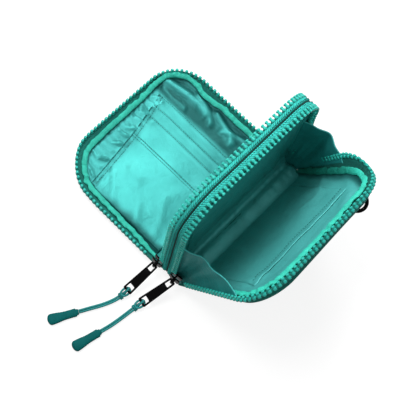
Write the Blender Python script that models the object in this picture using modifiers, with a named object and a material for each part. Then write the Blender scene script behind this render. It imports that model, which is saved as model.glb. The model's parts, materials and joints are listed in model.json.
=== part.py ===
"""A wristlet pouch with two zip-round compartments, lying open.

The front leaf lies flat on the table, the divider stands upright on the spine, and the rear leaf
leans back against its gussets. +X runs along the hinges towards the zip sliders, -Y towards the
front leaf's free edge and +Z up. The origin is the middle of the spine's flat foot.
"""

import math

import bmesh
import bpy
from mathutils import Matrix, Vector

# Overall sizes of the zip-round rim, in metres
HINGE_LENGTH = 0.202
RIM_HEIGHT = 0.161
RIM_CORNER_RADIUS = 0.045
HALF_BAND = 0.0132
REAR_LEAN_DEG = 34.0
FRONT_LEAN_DEG = 90.0

# Clearances
SEAT_GAP = 0.0003
SEWN_GAP = 0.0004
CUT_OVERRUN = 0.001

# Zip: one row of moulded teeth on the edge of each tape. Depths are measured from the plane where
# two rows would meet
TOOTH_TIP_DEPTH = 0.0012
TOOTH_LENGTH = 0.0042
TOOTH_PITCH = 0.0058
TOOTH_WIDTH = 0.0027
TOOTH_TIP_SHARE = 0.8
TOOTH_THICKNESS = 0.003
STRIP_WIDTH = 0.002
TEETH_START = 0.0145
TAPE_THICKNESS = 0.0008
TAPE_START = 0.0015
STOP_LENGTH = 0.004
STOP_THICKNESS = 0.0036

# Leaf: tape, binding, lining, foam and shell, from the rim outwards
TAPE_SLOPE = 0.0078
TAPE_KNEE_SHARES = (0.35, 0.12)
TAPE_DEPTH = 0.0122
FLARE_START = 0.016
FLARE_END = 0.046
BINDING_RADIUS = 0.0015
LINING_DEPTH = 0.0134
LINING_THICKNESS = 0.0006
FOAM_THICKNESS = 0.0012
SHELL_THICKNESS = 0.0008
SHELL_LIP_HEIGHT = 0.0036
SHELL_EDGE_ROUNDING = 0.0018
BOTTOM_WALL_INSET = 0.0003
BOTTOM_WALL_TOP_DEPTH = 0.0010
BOTTOM_WALL_END = 0.012
BOTTOM_SIDE_INSET = 0.0024

SHELL_INSET = TAPE_SLOPE + SEWN_GAP
BINDING_START_INSET = TAPE_THICKNESS / 2 + BINDING_RADIUS + SEWN_GAP
LINING_BACK = LINING_DEPTH + LINING_THICKNESS
FOAM_FRONT = LINING_BACK + SEAT_GAP
FOAM_BACK = FOAM_FRONT + FOAM_THICKNESS
LEAF_DEPTH = FOAM_BACK + SEAT_GAP + SHELL_THICKNESS
HINGE_HEIGHT = LEAF_DEPTH

# Card pockets on the front lining: each pocket's opening edge runs up the leaf
POCKET_THICKNESS = 0.0006
POCKET_BOTTOM = 0.010
POCKET_TOP = 0.134
POCKET_END_X = 0.084
POCKET_EDGES = (-0.053, -0.039, -0.025, 0.005)

# Slip pockets of the main compartment
SLIP_WIDTH = 0.150
SLIP_BOTTOM = 0.008
REAR_SLIP_TOP = 0.112
DIVIDER_SLIP_TOP = 0.120

# Divider
STIFFENER_THICKNESS = 0.001
DIVIDER_LINING_THICKNESS = 0.0006
PIPING_RADIUS = 0.0009
BAND_CROWN = 0.0005

# Spine: the trough of shell fabric that joins the three leaves and stands on the table
SPINE_LENGTH = 0.190
SPINE_THICKNESS = 0.0009
SPINE_ROUNDING = 0.005

# Gussets at the ends of the main compartment. A bulge over zero goes into the compartment
GUSSET_THICKNESS = 0.0006
GUSSET_FOOT = 0.016
GUSSET_ROOT_Y = 0.0034
GUSSET_LEAF_DEPTH = 0.0083
GUSSET_DIVIDER_HEIGHT = 0.078
SLIDER_GUSSET_INSET = 0.0024
SLIDER_GUSSET_LEAF_HEIGHT = 0.113
SLIDER_GUSSET_DIP = 0.010
SLIDER_GUSSET_BULGE = 0.011
SLIDER_GUSSET_ROUND_SHARE = 0.6
SLIDER_GUSSET_LOW_SHARE = 0.5
RING_GUSSET_INSET = 0.0034
RING_GUSSET_LEAF_HEIGHT = 0.080
RING_GUSSET_DIP = 0.002
RING_GUSSET_BULGE = -0.008
RING_GUSSET_ROUND_SHARE = 3.0
RING_GUSSET_LOW_SHARE = 0.0

# Zip sliders
SLIDER_PLATE_THICKNESS = 0.0012
SLIDER_LENGTH = 0.012
SLIDER_NOSE_WIDTH = 0.016
SLIDER_TAIL_WIDTH = 0.011
SLIDER_TAIL_SHARE = 0.45
SLIDER_START = 0.0015
POST_WIDTH = 0.0018
POST_LENGTH = 0.0036
BRIDGE_WIDTH = 0.0026
BRIDGE_WALL = 0.0011
BRIDGE_LENGTH = 0.0086
BRIDGE_OPENING = 0.0042
BRIDGE_SINK = 0.0004

# Metal pulls, each a tapered plate with two windows
PULL_LENGTH = 0.041
PULL_THICKNESS = 0.0016
PULL_NEAR_WIDTH = 0.008
PULL_FAR_WIDTH = 0.011
PULL_RAIL = 0.0014
PULL_NEAR_BAR = 0.0016
PULL_FAR_BAR = 0.0024
NEAR_WINDOW = 0.0085
FAR_WINDOW = 0.007
PULL_AXIS_LIFT = 0.0024
PULL_DROP_DEG = 25.0
FRONT_PULL_YAW_DEG = -6.0
REAR_PULL_YAW_DEG = -15.0

# Cords and moulded grips on the pulls
CORD_RADIUS = 0.0012
CORD_LOOP_RADIUS = 0.0031
CORD_SPREAD = 0.0015
CORD_POINT_SPACING = 0.003
GRIP_LENGTH = 0.034
GRIP_WIDTH = 0.0105
GRIP_THICKNESS = 0.0056
GRIP_MOUTH_SHARE = 0.78
GRIP_ROUNDING = 0.0022
KNOT_LENGTH = 0.0042
KNOT_WALL = 0.0012
KNOT_CLEARANCE = 0.0007
FRONT_CORD_ROUTE = (
    (0.1512, -0.0178, 0.0034),
    (0.1620, -0.0205, 0.0028),
    (0.1735, -0.0254, 0.0028),
    (0.1850, -0.0318, 0.0028),
    (0.1960, -0.0378, 0.0028),
)
REAR_CORD_ROUTE = (
    (0.1502, 0.0020, 0.0034),
    (0.1610, 0.0005, 0.0028),
    (0.1722, -0.0010, 0.0028),
    (0.1838, -0.0030, 0.0028),
    (0.1950, -0.0058, 0.0028),
)

# D-ring, held level by a tight webbing tab on the back of the rear shell
RING_X = -0.070
RING_HEIGHT = 0.121
RING_STOCK_RADIUS = 0.0021
RING_INNER_WIDTH = 0.0215
RING_ARM = 0.001
RING_BULGE = 0.0122
RING_BORE_RADIUS = 0.0024
RING_TAB_WALL = 0.0009
RING_TAB_WIDTH = 0.014
RING_TAB_LENGTH = 0.017

ARC_STEPS = 8
TOP_STEPS = 5
FLARE_STEPS = 4
GUSSET_COLUMNS, GUSSET_ROWS = 9, 6
RING_STEPS = 14

HALF_LENGTH = HINGE_LENGTH / 2
STRAIGHT = RIM_HEIGHT - RIM_CORNER_RADIUS
ARC = math.pi / 2 * RIM_CORNER_RADIUS
TOP = HINGE_LENGTH - 2 * RIM_CORNER_RADIUS
RIM_LENGTH = 2 * (STRAIGHT + ARC) + TOP
TOOTH_ROOT_DEPTH = TOOTH_TIP_DEPTH + TOOTH_LENGTH
STRIP_END_DEPTH = TOOTH_ROOT_DEPTH + STRIP_WIDTH
TAPE_TOP_DEPTH = STRIP_END_DEPTH + SEAT_GAP

FRONT, REAR = -1, 1


def clear_scene():
    for obj in list(bpy.data.objects):
        bpy.data.objects.remove(obj, do_unlink=True)


def new_collection(name, hidden=False):
    collection = bpy.data.collections.new(name)
    collection.hide_render = hidden
    bpy.context.scene.collection.children.link(collection)
    return collection


def new_material(name, color, roughness, metallic=0.0):
    material = bpy.data.materials.new(name)
    material.use_nodes = True
    shader = material.node_tree.nodes["Principled BSDF"]
    shader.inputs["Base Color"].default_value = (*color, 1.0)
    shader.inputs["Roughness"].default_value = roughness
    shader.inputs["Metallic"].default_value = metallic
    return material


def add_object(name, data, material, parent=None, collection=None):
    obj = bpy.data.objects.new(name, data)
    (collection or POUCH).objects.link(obj)
    if material:
        data.materials.append(material)
    if parent:
        obj.parent = parent
    return obj


def add_empty(name, place, parent=None, parent_place=None):
    """An empty at a place in the world, which its parent carries."""
    empty = bpy.data.objects.new(name, None)
    POUCH.objects.link(empty)
    empty.parent = parent
    empty.matrix_local = parent_place.inverted() @ place if parent else place
    return empty


def surface(name, points, faces, material, parent, thickness, offset=0.0, smooth=True):
    """An open surface made solid by Solidify."""
    mesh = bpy.data.meshes.new(name)
    mesh.from_pydata(points, [], faces)
    shaped = bmesh.new()
    shaped.from_mesh(mesh)
    bmesh.ops.recalc_face_normals(shaped, faces=shaped.faces)
    shaped.to_mesh(mesh)
    shaped.free()
    if smooth:
        mesh.shade_smooth()
        mesh.set_sharp_from_angle(angle=math.radians(40))
    obj = add_object(name, mesh, material, parent)
    solidify = obj.modifiers.new("thickness", "SOLIDIFY")
    solidify.thickness = thickness
    solidify.offset = offset
    solidify.use_even_offset = True
    return obj


def flat_outline(name, outlines, thickness, material, parent, matrix=None, collection=None):
    """A flat plate from closed outlines in its local XY plane; the later outlines are holes."""
    curve = bpy.data.curves.new(name, "CURVE")
    curve.dimensions = "2D"
    curve.fill_mode = "BOTH"
    curve.extrude = thickness / 2
    for outline in outlines:
        spline = curve.splines.new("POLY")
        spline.points.add(len(outline) - 1)
        for point, (x, y) in zip(spline.points, outline):
            point.co = (x, y, 0, 1)
        spline.use_cyclic_u = True
    obj = add_object(name, curve, material, parent, collection)
    if matrix:
        obj.matrix_local = matrix
    return obj


def tube(name, points, radius, material, parent=None, closed=False, sides=2):
    """A round tube along a chain of points."""
    curve = bpy.data.curves.new(name, "CURVE")
    curve.dimensions = "3D"
    curve.bevel_depth = radius
    curve.bevel_resolution = sides
    curve.use_fill_caps = not closed
    spline = curve.splines.new("POLY")
    spline.points.add(len(points) - 1)
    for point, place in zip(spline.points, points):
        point.co = (*place, 1)
    spline.use_cyclic_u = closed
    return add_object(name, curve, material, parent)


def box(name, low, high, material, parent=None, collection=None, rounding=0.0, segments=3):
    """A block between two corners, with rounded edges where a rounding is given."""
    mesh = bpy.data.meshes.new(name)
    shaped = bmesh.new()
    bmesh.ops.create_cube(shaped, size=1.0)
    middle = [(a + b) / 2 for a, b in zip(low, high)]
    spans = [b - a for a, b in zip(low, high)]
    bmesh.ops.scale(shaped, vec=spans, verts=shaped.verts)
    bmesh.ops.translate(shaped, vec=middle, verts=shaped.verts)
    shaped.to_mesh(mesh)
    shaped.free()
    obj = add_object(name, mesh, material, parent, collection)
    if rounding:
        bevel = obj.modifiers.new("rounding", "BEVEL")
        bevel.width = rounding
        bevel.segments = segments
        mesh.shade_smooth()
    return obj


def mesh_copy(obj, name, collection):
    """The curve obj made a mesh with welded caps, in its place."""
    bpy.context.view_layer.update()
    evaluated = obj.evaluated_get(bpy.context.evaluated_depsgraph_get())
    mesh = bpy.data.meshes.new_from_object(evaluated)
    shaped = bmesh.new()
    shaped.from_mesh(mesh)
    bmesh.ops.remove_doubles(shaped, verts=shaped.verts, dist=WELD)
    bmesh.ops.recalc_face_normals(shaped, faces=shaped.faces)
    shaped.to_mesh(mesh)
    shaped.free()
    copy = bpy.data.objects.new(name, mesh)
    collection.objects.link(copy)
    copy.parent = obj.parent
    copy.matrix_local = obj.matrix_local.copy()
    bpy.data.objects.remove(obj, do_unlink=True)
    return copy


WELD = 0.000001


def joined(target, helper):
    """Joins a helper solid to the target by a Boolean union, and hides the helper."""
    helper.hide_render = True
    helper.display_type = "WIRE"
    union = target.modifiers.new("join " + helper.name, "BOOLEAN")
    union.operation = "UNION"
    union.solver = "EXACT"
    union.object = helper


def ease(value, low, high):
    share = min(1.0, max(0.0, (value - low) / (high - low)))
    return share * share * (3 - 2 * share)


def rim_at(distance):
    """Place and inward direction (x, height, inward x, inward height) at a distance round the rim."""
    if distance > RIM_LENGTH / 2:
        x, height, inward_x, inward_height = rim_at(RIM_LENGTH - distance)
        return -x, height, -inward_x, inward_height
    if distance <= STRAIGHT:
        return HALF_LENGTH, distance, -1.0, 0.0
    if distance <= STRAIGHT + ARC:
        turn = (distance - STRAIGHT) / RIM_CORNER_RADIUS
        x = HALF_LENGTH - RIM_CORNER_RADIUS * (1 - math.cos(turn))
        height = STRAIGHT + RIM_CORNER_RADIUS * math.sin(turn)
        return x, height, -math.cos(turn), -math.sin(turn)
    return HALF_LENGTH - RIM_CORNER_RADIUS - (distance - STRAIGHT - ARC), RIM_HEIGHT, 0.0, -1.0


def rim_stations(start):
    """Distances round the rim, close together only where it bends or flares."""
    flare = [
        FLARE_START + (FLARE_END - FLARE_START) * k / FLARE_STEPS for k in range(FLARE_STEPS + 1)
    ]
    side = [start] + [d for d in flare if d > start + CUT_OVERRUN]
    side += [STRAIGHT + ARC * k / ARC_STEPS for k in range(ARC_STEPS + 1)]
    top = [STRAIGHT + ARC + TOP * k / TOP_STEPS for k in range(1, TOP_STEPS)]
    return side + top + [RIM_LENGTH - d for d in reversed(side)]


def rim_point(distance, inset, depth, side):
    x, height, inward_x, inward_height = rim_at(distance)
    return (x + inward_x * inset, side * depth, height + inward_height * inset)


def flared(distance, inset):
    """The inset of a sloping wall, which stands upright near the hinge."""
    from_hinge = min(distance, RIM_LENGTH - distance)
    return inset * ease(from_hinge, FLARE_START, FLARE_END)


def strip_faces(columns, rows):
    return [
        (c * rows + r, (c + 1) * rows + r, (c + 1) * rows + r + 1, c * rows + r + 1)
        for c in range(columns - 1)
        for r in range(rows - 1)
    ]


def sheet_round_rim(name, profile, thickness, side, material, parent, start):
    """A sheet round the rim whose cross-section is a list of (inset, depth), flared from the hinge."""
    stations = rim_stations(start)
    points = [
        rim_point(d, flared(d, inset), depth, side) for d in stations for inset, depth in profile
    ]
    faces = strip_faces(len(stations), len(profile))
    return surface(name, points, faces, material, parent, thickness)


def teeth_row(name, side, material, parent, base=0.0, facing=1):
    """One row of teeth on its edge strip, as a comb bent round the rim. The strip's plain end at
    +X is what the slider sits on."""
    count = int((RIM_LENGTH - 2 * TEETH_START) / TOOTH_PITCH)
    first = (RIM_LENGTH - (count - 1) * TOOTH_PITCH) / 2
    points, faces = [], []

    def add(distance, depth):
        points.append(rim_point(distance, 0.0, base + facing * depth, side))
        return len(points) - 1

    plain_root, plain_end = add(TAPE_START, TOOTH_ROOT_DEPTH), add(TAPE_START, STRIP_END_DEPTH)
    for k in range(count):
        middle = first + k * TOOTH_PITCH
        low, high = middle - TOOTH_WIDTH / 2, middle + TOOTH_WIDTH / 2
        tip_low = middle - TOOTH_WIDTH / 2 * TOOTH_TIP_SHARE
        tip_high = middle + TOOTH_WIDTH / 2 * TOOTH_TIP_SHARE
        tooth = [
            add(low, STRIP_END_DEPTH),
            add(low, TOOTH_ROOT_DEPTH),
            add(tip_low, TOOTH_TIP_DEPTH),
            add(tip_high, TOOTH_TIP_DEPTH),
            add(high, TOOTH_ROOT_DEPTH),
            add(high, STRIP_END_DEPTH),
        ]
        faces.append((tooth[0], tooth[1], tooth[4], tooth[5]))
        faces.append((tooth[1], tooth[2], tooth[3], tooth[4]))
        faces.append((plain_end, plain_root, tooth[1], tooth[0]))
        plain_root, plain_end = tooth[4], tooth[5]
    return surface(name, points, faces, material, parent, TOOTH_THICKNESS, smooth=False)


def zip_stop(name, side, material, parent, base=0.0, facing=1):
    """The moulded block that ends a row of teeth at the -X hinge end."""
    depths = sorted(
        side * (base + facing * depth) for depth in (TOOTH_ROOT_DEPTH, STRIP_END_DEPTH)
    )
    top = teeth_end() - SEAT_GAP
    return box(
        name,
        (-HALF_LENGTH - STOP_THICKNESS / 2, depths[0], top - STOP_LENGTH),
        (-HALF_LENGTH + STOP_THICKNESS / 2, depths[1], top),
        material,
        parent,
    )


def teeth_end():
    """Height of the lowest tooth's lower flank."""
    count = int((RIM_LENGTH - 2 * TEETH_START) / TOOTH_PITCH)
    return (RIM_LENGTH - (count - 1) * TOOTH_PITCH) / 2 - TOOTH_WIDTH / 2


def leaf_outline(inset, bottom):
    """Closed outline (x, height, is on the bottom edge) of a leaf's floor, from the +X bottom corner."""
    near = BOTTOM_SIDE_INSET + inset - SHELL_INSET
    outline = [(HALF_LENGTH - near, bottom, False)]
    for distance in rim_stations(FLARE_START):
        x, height, inward_x, inward_height = rim_at(distance)
        own = near + flared(distance, inset - near)
        outline.append((x + inward_x * own, height + inward_height * own, False))
    outline.append((-outline[0][0], bottom, False))
    end = HALF_LENGTH - BOTTOM_WALL_END
    return outline + [(-end, bottom, True), (end, bottom, True)]


def tray(name, rings, thickness, side, material, parent):
    """A tray with an open top. Each ring is (inset, bottom height, side depth, bottom depth), and
    the first ring is the floor's edge."""
    points, faces = [], []
    count = 0
    for inset, bottom, side_depth, bottom_depth in rings:
        outline = leaf_outline(inset, bottom)
        count = len(outline)
        for x, height, on_bottom in outline:
            points.append((x, side * (bottom_depth if on_bottom else side_depth), height))
    faces.append(tuple(range(count)))
    for ring in range(len(rings) - 1):
        for k in range(count):
            after = (k + 1) % count
            low, high = ring * count, (ring + 1) * count
            faces.append((low + k, low + after, high + after, high + k))
    return surface(name, points, faces, material, parent, thickness)


def plate(name, outline, front, back, side, material, parent):
    """A flat plate in a leaf's plane between two depths."""
    middle = side * (front + back) / 2
    stand = Matrix.Translation((0, middle, 0)) @ Matrix.Rotation(math.pi / 2, 4, "X")
    return flat_outline(name, [outline], abs(back - front), material, parent, stand)


def floor_outline(inset, bottom):
    return [(x, height) for x, height, on_bottom in leaf_outline(inset, bottom)]


def rectangle(low_x, high_x, low_y, high_y):
    return [(low_x, low_y), (high_x, low_y), (high_x, high_y), (low_x, high_y)]


def leaf(word, side, parent):
    """The pieces that both leaves have: shell, foam, lining, binding, zip tape and teeth."""
    lip_top = LEAF_DEPTH - SHELL_LIP_HEIGHT
    shell_middle = SHELL_THICKNESS / 2
    floor = LEAF_DEPTH - shell_middle
    wall = BOTTOM_WALL_INSET + shell_middle
    edge = SHELL_INSET
    tray(
        word + "_shell",
        (
            (edge + 2 * SHELL_EDGE_ROUNDING, wall + SHELL_EDGE_ROUNDING, floor, floor),
            (edge + SHELL_EDGE_ROUNDING, wall, floor - SHELL_EDGE_ROUNDING / 3, floor - SHELL_EDGE_ROUNDING),
            (edge, wall, lip_top, BOTTOM_WALL_TOP_DEPTH),
        ),
        SHELL_THICKNESS,
        side,
        SHELL,
        parent,
    )
    foam_bottom = BOTTOM_WALL_INSET + SHELL_THICKNESS + SHELL_EDGE_ROUNDING + SEAT_GAP
    foam_inset = edge + 2 * SHELL_EDGE_ROUNDING + SEAT_GAP
    plate(
        word + "_foam",
        floor_outline(foam_inset, foam_bottom),
        FOAM_FRONT,
        FOAM_BACK,
        side,
        FOAM,
        parent,
    )
    lining_wall = BOTTOM_WALL_INSET + SHELL_THICKNESS + SEAT_GAP + LINING_THICKNESS / 2
    lining_floor = LINING_DEPTH + LINING_THICKNESS / 2
    tray(
        word + "_lining",
        (
            (foam_inset, lining_wall + SHELL_EDGE_ROUNDING, lining_floor, lining_floor),
            (
                foam_inset - SHELL_EDGE_ROUNDING,
                lining_wall,
                lining_floor - LINING_THICKNESS / 2,
                lining_floor - SHELL_EDGE_ROUNDING,
            ),
            (
                foam_inset - SHELL_EDGE_ROUNDING - LINING_THICKNESS,
                lining_wall,
                lining_floor - LINING_THICKNESS,
                BOTTOM_WALL_TOP_DEPTH + LINING_THICKNESS,
            ),
        ),
        LINING_THICKNESS,
        side,
        LINING,
        parent,
    )
    knee_depth_share, knee_inset_share = TAPE_KNEE_SHARES
    knee = TAPE_TOP_DEPTH + (TAPE_DEPTH - TAPE_TOP_DEPTH) * knee_depth_share
    sheet_round_rim(
        word + "_zip_tape",
        ((0.0, TAPE_TOP_DEPTH), (TAPE_SLOPE * knee_inset_share, knee), (TAPE_SLOPE, TAPE_DEPTH)),
        TAPE_THICKNESS,
        side,
        TAPE,
        parent,
        TAPE_START,
    )
    binding_inset = TAPE_SLOPE + BINDING_RADIUS + SEWN_GAP
    binding_depth = TAPE_DEPTH - BINDING_RADIUS - SEWN_GAP
    stations = rim_stations(TAPE_START)
    tube(
        word + "_binding",
        [
            rim_point(
                d,
                flared(d, binding_inset - BINDING_START_INSET) + BINDING_START_INSET,
                binding_depth,
                side,
            )
            for d in stations
        ],
        BINDING_RADIUS,
        BINDING,
        parent,
        sides=1,
    )
    teeth_row(word + "_leaf_teeth", side, TEETH, parent)
    zip_stop(word + "_leaf_zip_stop", side, TEETH, parent)


def card_pockets(parent):
    """Four pockets sewn one over the other, each starting further from the -X side."""
    for k, edge in enumerate(POCKET_EDGES):
        back = LINING_DEPTH - SEAT_GAP - k * (POCKET_THICKNESS + SEAT_GAP)
        plate(
            "card_pocket_%d" % (k + 1),
            rectangle(edge, POCKET_END_X, POCKET_BOTTOM, POCKET_TOP),
            back - POCKET_THICKNESS,
            back,
            FRONT,
            LINING,
            parent,
        )


def slip_pocket(name, top, back, side, parent):
    plate(
        name,
        rectangle(-SLIP_WIDTH / 2, SLIP_WIDTH / 2, SLIP_BOTTOM, top),
        back - POCKET_THICKNESS,
        back,
        side,
        LINING,
        parent,
    )


def divider_outline():
    """The divider's outline, with a narrower foot that reaches down into the spine's trough."""
    inset = PIPING_RADIUS + SEWN_GAP
    foot = SPINE_LENGTH / 2 - SPINE_THICKNESS - SPINE_ROUNDING
    bottom = SPINE_THICKNESS + SEAT_GAP - HINGE_HEIGHT
    stations = rim_stations(FLARE_START)
    body = [rim_point(d, inset, 0.0, 1) for d in stations]
    outline = [(foot, bottom), (foot, SEAT_GAP), (body[0][0], SEAT_GAP)]
    outline += [(x, height) for x, unused, height in body]
    return outline + [(-body[0][0], SEAT_GAP), (-foot, SEAT_GAP), (-foot, bottom)]


def divider(parent):
    """The stiffened divider with its two zip tapes, joined by a piped seam."""
    outline = divider_outline()
    half = STIFFENER_THICKNESS / 2
    plate("divider_stiffener", outline, -half, half, 1, BOARD, parent)
    near = half + SEAT_GAP
    far = near + DIVIDER_LINING_THICKNESS
    plate("divider_lining_front", outline, near, far, FRONT, LINING, parent)
    plate("divider_lining_rear", outline, near, far, REAR, LINING, parent)
    slip_pocket("divider_slip_pocket", DIVIDER_SLIP_TOP, far + SEAT_GAP + POCKET_THICKNESS, REAR, parent)
    piping = [rim_point(d, 0.0, 0.0, 1) for d in rim_stations(TAPE_START)]
    tube("divider_seam_piping", piping, PIPING_RADIUS, PIPING, parent, sides=1)
    for word, side in (("front", FRONT), ("rear", REAR)):
        outer = HALF_BAND - TAPE_TOP_DEPTH
        inner = PIPING_RADIUS + SEAT_GAP
        stations = rim_stations(TAPE_START)
        profile = ((0.0, outer), (-BAND_CROWN, (outer + inner) / 2), (0.0, inner))
        points = [rim_point(d, inset, depth, side) for d in stations for inset, depth in profile]
        surface(
            "divider_%s_tape" % word,
            points,
            strip_faces(len(stations), len(profile)),
            TAPE,
            parent,
            TAPE_THICKNESS,
        )
        teeth_row("divider_%s_teeth" % word, side, TEETH, parent, HALF_BAND, -1)
        zip_stop("divider_%s_zip_stop" % word, side, TEETH, parent, HALF_BAND, -1)


def spine():
    """The trough under the divider: open on top, with rounded lower edges and a flat foot."""
    half_width = HALF_BAND - SEAT_GAP - SPINE_THICKNESS / 2
    top = HINGE_HEIGHT - SEAT_GAP
    name = "spine_panel"
    mesh = bpy.data.meshes.new(name)
    shaped = bmesh.new()
    bmesh.ops.create_cube(shaped, size=1.0)
    low = SPINE_THICKNESS / 2
    bmesh.ops.scale(
        shaped,
        vec=(SPINE_LENGTH - SPINE_THICKNESS, 2 * half_width, top - low),
        verts=shaped.verts,
    )
    bmesh.ops.translate(shaped, vec=(0, 0, (top + low) / 2), verts=shaped.verts)
    lid = [face for face in shaped.faces if face.normal.z > 0.5]
    bmesh.ops.delete(shaped, geom=lid, context="FACES_ONLY")
    shaped.to_mesh(mesh)
    shaped.free()
    mesh.shade_smooth()
    obj = add_object(name, mesh, SHELL)
    bevel = obj.modifiers.new("rounding", "BEVEL")
    bevel.width = SPINE_ROUNDING
    bevel.segments = 3
    solidify = obj.modifiers.new("thickness", "SOLIDIFY")
    solidify.thickness = SPINE_THICKNESS
    solidify.offset = 0.0


def gusset(name, end, inset, leaf_height, dip, bulge, round_share, low_share):
    """Sewn fabric fan between the divider and the rear leaf at one end. end is +1 or -1 along X."""
    lean = math.radians(REAR_LEAN_DEG)
    columns, rows = GUSSET_COLUMNS, GUSSET_ROWS
    edge_x = HALF_LENGTH - inset
    points = []
    for c in range(columns):
        share = c / (columns - 1)
        arch = math.sin(math.pi * share)
        top = GUSSET_DIVIDER_HEIGHT + (leaf_height - GUSSET_DIVIDER_HEIGHT) * share - dip * arch
        for r in range(rows):
            up_share = r / (rows - 1)
            height = GUSSET_FOOT + (top - GUSSET_FOOT) * up_share
            root = Vector((edge_x, GUSSET_ROOT_Y, HINGE_HEIGHT + height))
            out = HALF_BAND + height * math.sin(lean) + GUSSET_LEAF_DEPTH * math.cos(lean)
            up = HINGE_HEIGHT + height * math.cos(lean) - GUSSET_LEAF_DEPTH * math.sin(lean)
            place = root.lerp(Vector((edge_x, out, up)), share)
            place.x -= bulge * arch**round_share * (low_share + (1 - low_share) * up_share)
            points.append((end * place.x, place.y, place.z))
    return surface(name, points, strip_faces(columns, rows), GUSSET, None, GUSSET_THICKNESS)


def zip_slider(word, side):
    """The slider casting: two plates joined by a post between the rows, with a bridge for the pull."""
    inner = TOOTH_THICKNESS / 2 + SEAT_GAP
    outer = inner + SLIDER_PLATE_THICKNESS
    nose, tail = SLIDER_NOSE_WIDTH / 2, SLIDER_TAIL_WIDTH / 2
    shoulder = SLIDER_LENGTH * SLIDER_TAIL_SHARE
    outline = [
        (-tail, 0.0),
        (tail, 0.0),
        (nose, shoulder),
        (nose, SLIDER_LENGTH),
        (-nose, SLIDER_LENGTH),
        (-nose, shoulder),
    ]
    place = Matrix.Translation((HALF_LENGTH, side * HALF_BAND, HINGE_HEIGHT + SLIDER_START))
    carrier = add_empty(word + "_slider_slide", place)
    upright = Matrix.Rotation(math.pi / 2, 4, "Z") @ Matrix.Rotation(math.pi / 2, 4, "X")
    plates = []
    for x in (-1, 1):
        shift = Matrix.Translation((x * (inner + outer) / 2, 0, 0)) @ upright
        helper = flat_outline("plate", [outline], SLIDER_PLATE_THICKNESS, None, carrier, shift)
        plates.append(mesh_copy(helper, "slider_plate_helper", CUTTERS))
    slider = plates[0]
    slider.name = word + "_slider"
    CUTTERS.objects.unlink(slider)
    POUCH.objects.link(slider)
    slider.data.materials.clear()
    slider.data.materials.append(METAL)
    joined(slider, plates[1])
    post = box(
        "post_helper",
        (-inner - SEAT_GAP, -POST_WIDTH / 2, SLIDER_LENGTH - POST_LENGTH),
        (inner + SEAT_GAP, POST_WIDTH / 2, SLIDER_LENGTH - SEAT_GAP),
        None,
        carrier,
        CUTTERS,
    )
    joined(slider, post)
    low = (SLIDER_LENGTH - BRIDGE_LENGTH) / 2
    high = low + BRIDGE_LENGTH
    base = outer - BRIDGE_SINK
    rise = outer + BRIDGE_OPENING
    arch = [
        (base, low),
        (rise + BRIDGE_WALL / 2, low),
        (rise + BRIDGE_WALL, low + BRIDGE_WALL / 2),
        (rise + BRIDGE_WALL, high - BRIDGE_WALL / 2),
        (rise + BRIDGE_WALL / 2, high),
        (base, high),
        (base, high - BRIDGE_WALL),
        (rise, high - BRIDGE_WALL),
        (rise, low + BRIDGE_WALL),
        (base, low + BRIDGE_WALL),
    ]
    on_edge = Matrix.Rotation(math.pi / 2, 4, "X")
    bridge = flat_outline("arch", [arch], BRIDGE_WIDTH, None, carrier, on_edge)
    joined(slider, mesh_copy(bridge, "bridge_helper", CUTTERS))
    return carrier, place


def pull_frame(side, yaw_deg):
    """World frame of a pull: X along it, Y across it, origin on the hinge bar's axis."""
    outer = TOOTH_THICKNESS / 2 + SEAT_GAP + SLIDER_PLATE_THICKNESS
    place = (
        HALF_LENGTH + outer + PULL_AXIS_LIFT,
        side * HALF_BAND,
        HINGE_HEIGHT + SLIDER_START + SLIDER_LENGTH / 2,
    )
    return (
        Matrix.Translation(place)
        @ Matrix.Rotation(math.radians(yaw_deg), 4, "Z")
        @ Matrix.Rotation(math.radians(PULL_DROP_DEG), 4, "Y")
    )


def zip_pull(word, frame, carrier, carrier_place):
    """The flat metal pull: a hinge bar, a window, a plain plate, a window and an end bar."""
    holder = add_empty(word + "_pull_hinge", frame, carrier, carrier_place)
    start, end = -PULL_NEAR_BAR / 2, PULL_LENGTH + PULL_FAR_BAR / 2

    def half_width(along):
        share = (along - start) / (end - start)
        return (PULL_NEAR_WIDTH + (PULL_FAR_WIDTH - PULL_NEAR_WIDTH) * share) / 2

    def window(low, high):
        a, b = half_width(low) - PULL_RAIL, half_width(high) - PULL_RAIL
        return [(low, -a), (high, -b), (high, b), (low, a)]

    near = PULL_NEAR_BAR / 2
    far = PULL_LENGTH - PULL_FAR_BAR / 2
    corner = PULL_RAIL
    outline = [
        (start, -half_width(start) + corner),
        (start + corner, -half_width(start)),
        (end - corner, -half_width(end)),
        (end, -half_width(end) + corner),
        (end, half_width(end) - corner),
        (end - corner, half_width(end)),
        (start + corner, half_width(start)),
        (start, half_width(start) - corner),
    ]
    outlines = [outline, window(near, near + NEAR_WINDOW), window(far - FAR_WINDOW, far)]
    flat_outline(word + "_pull", outlines, PULL_THICKNESS, METAL, holder)
    return holder


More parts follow.
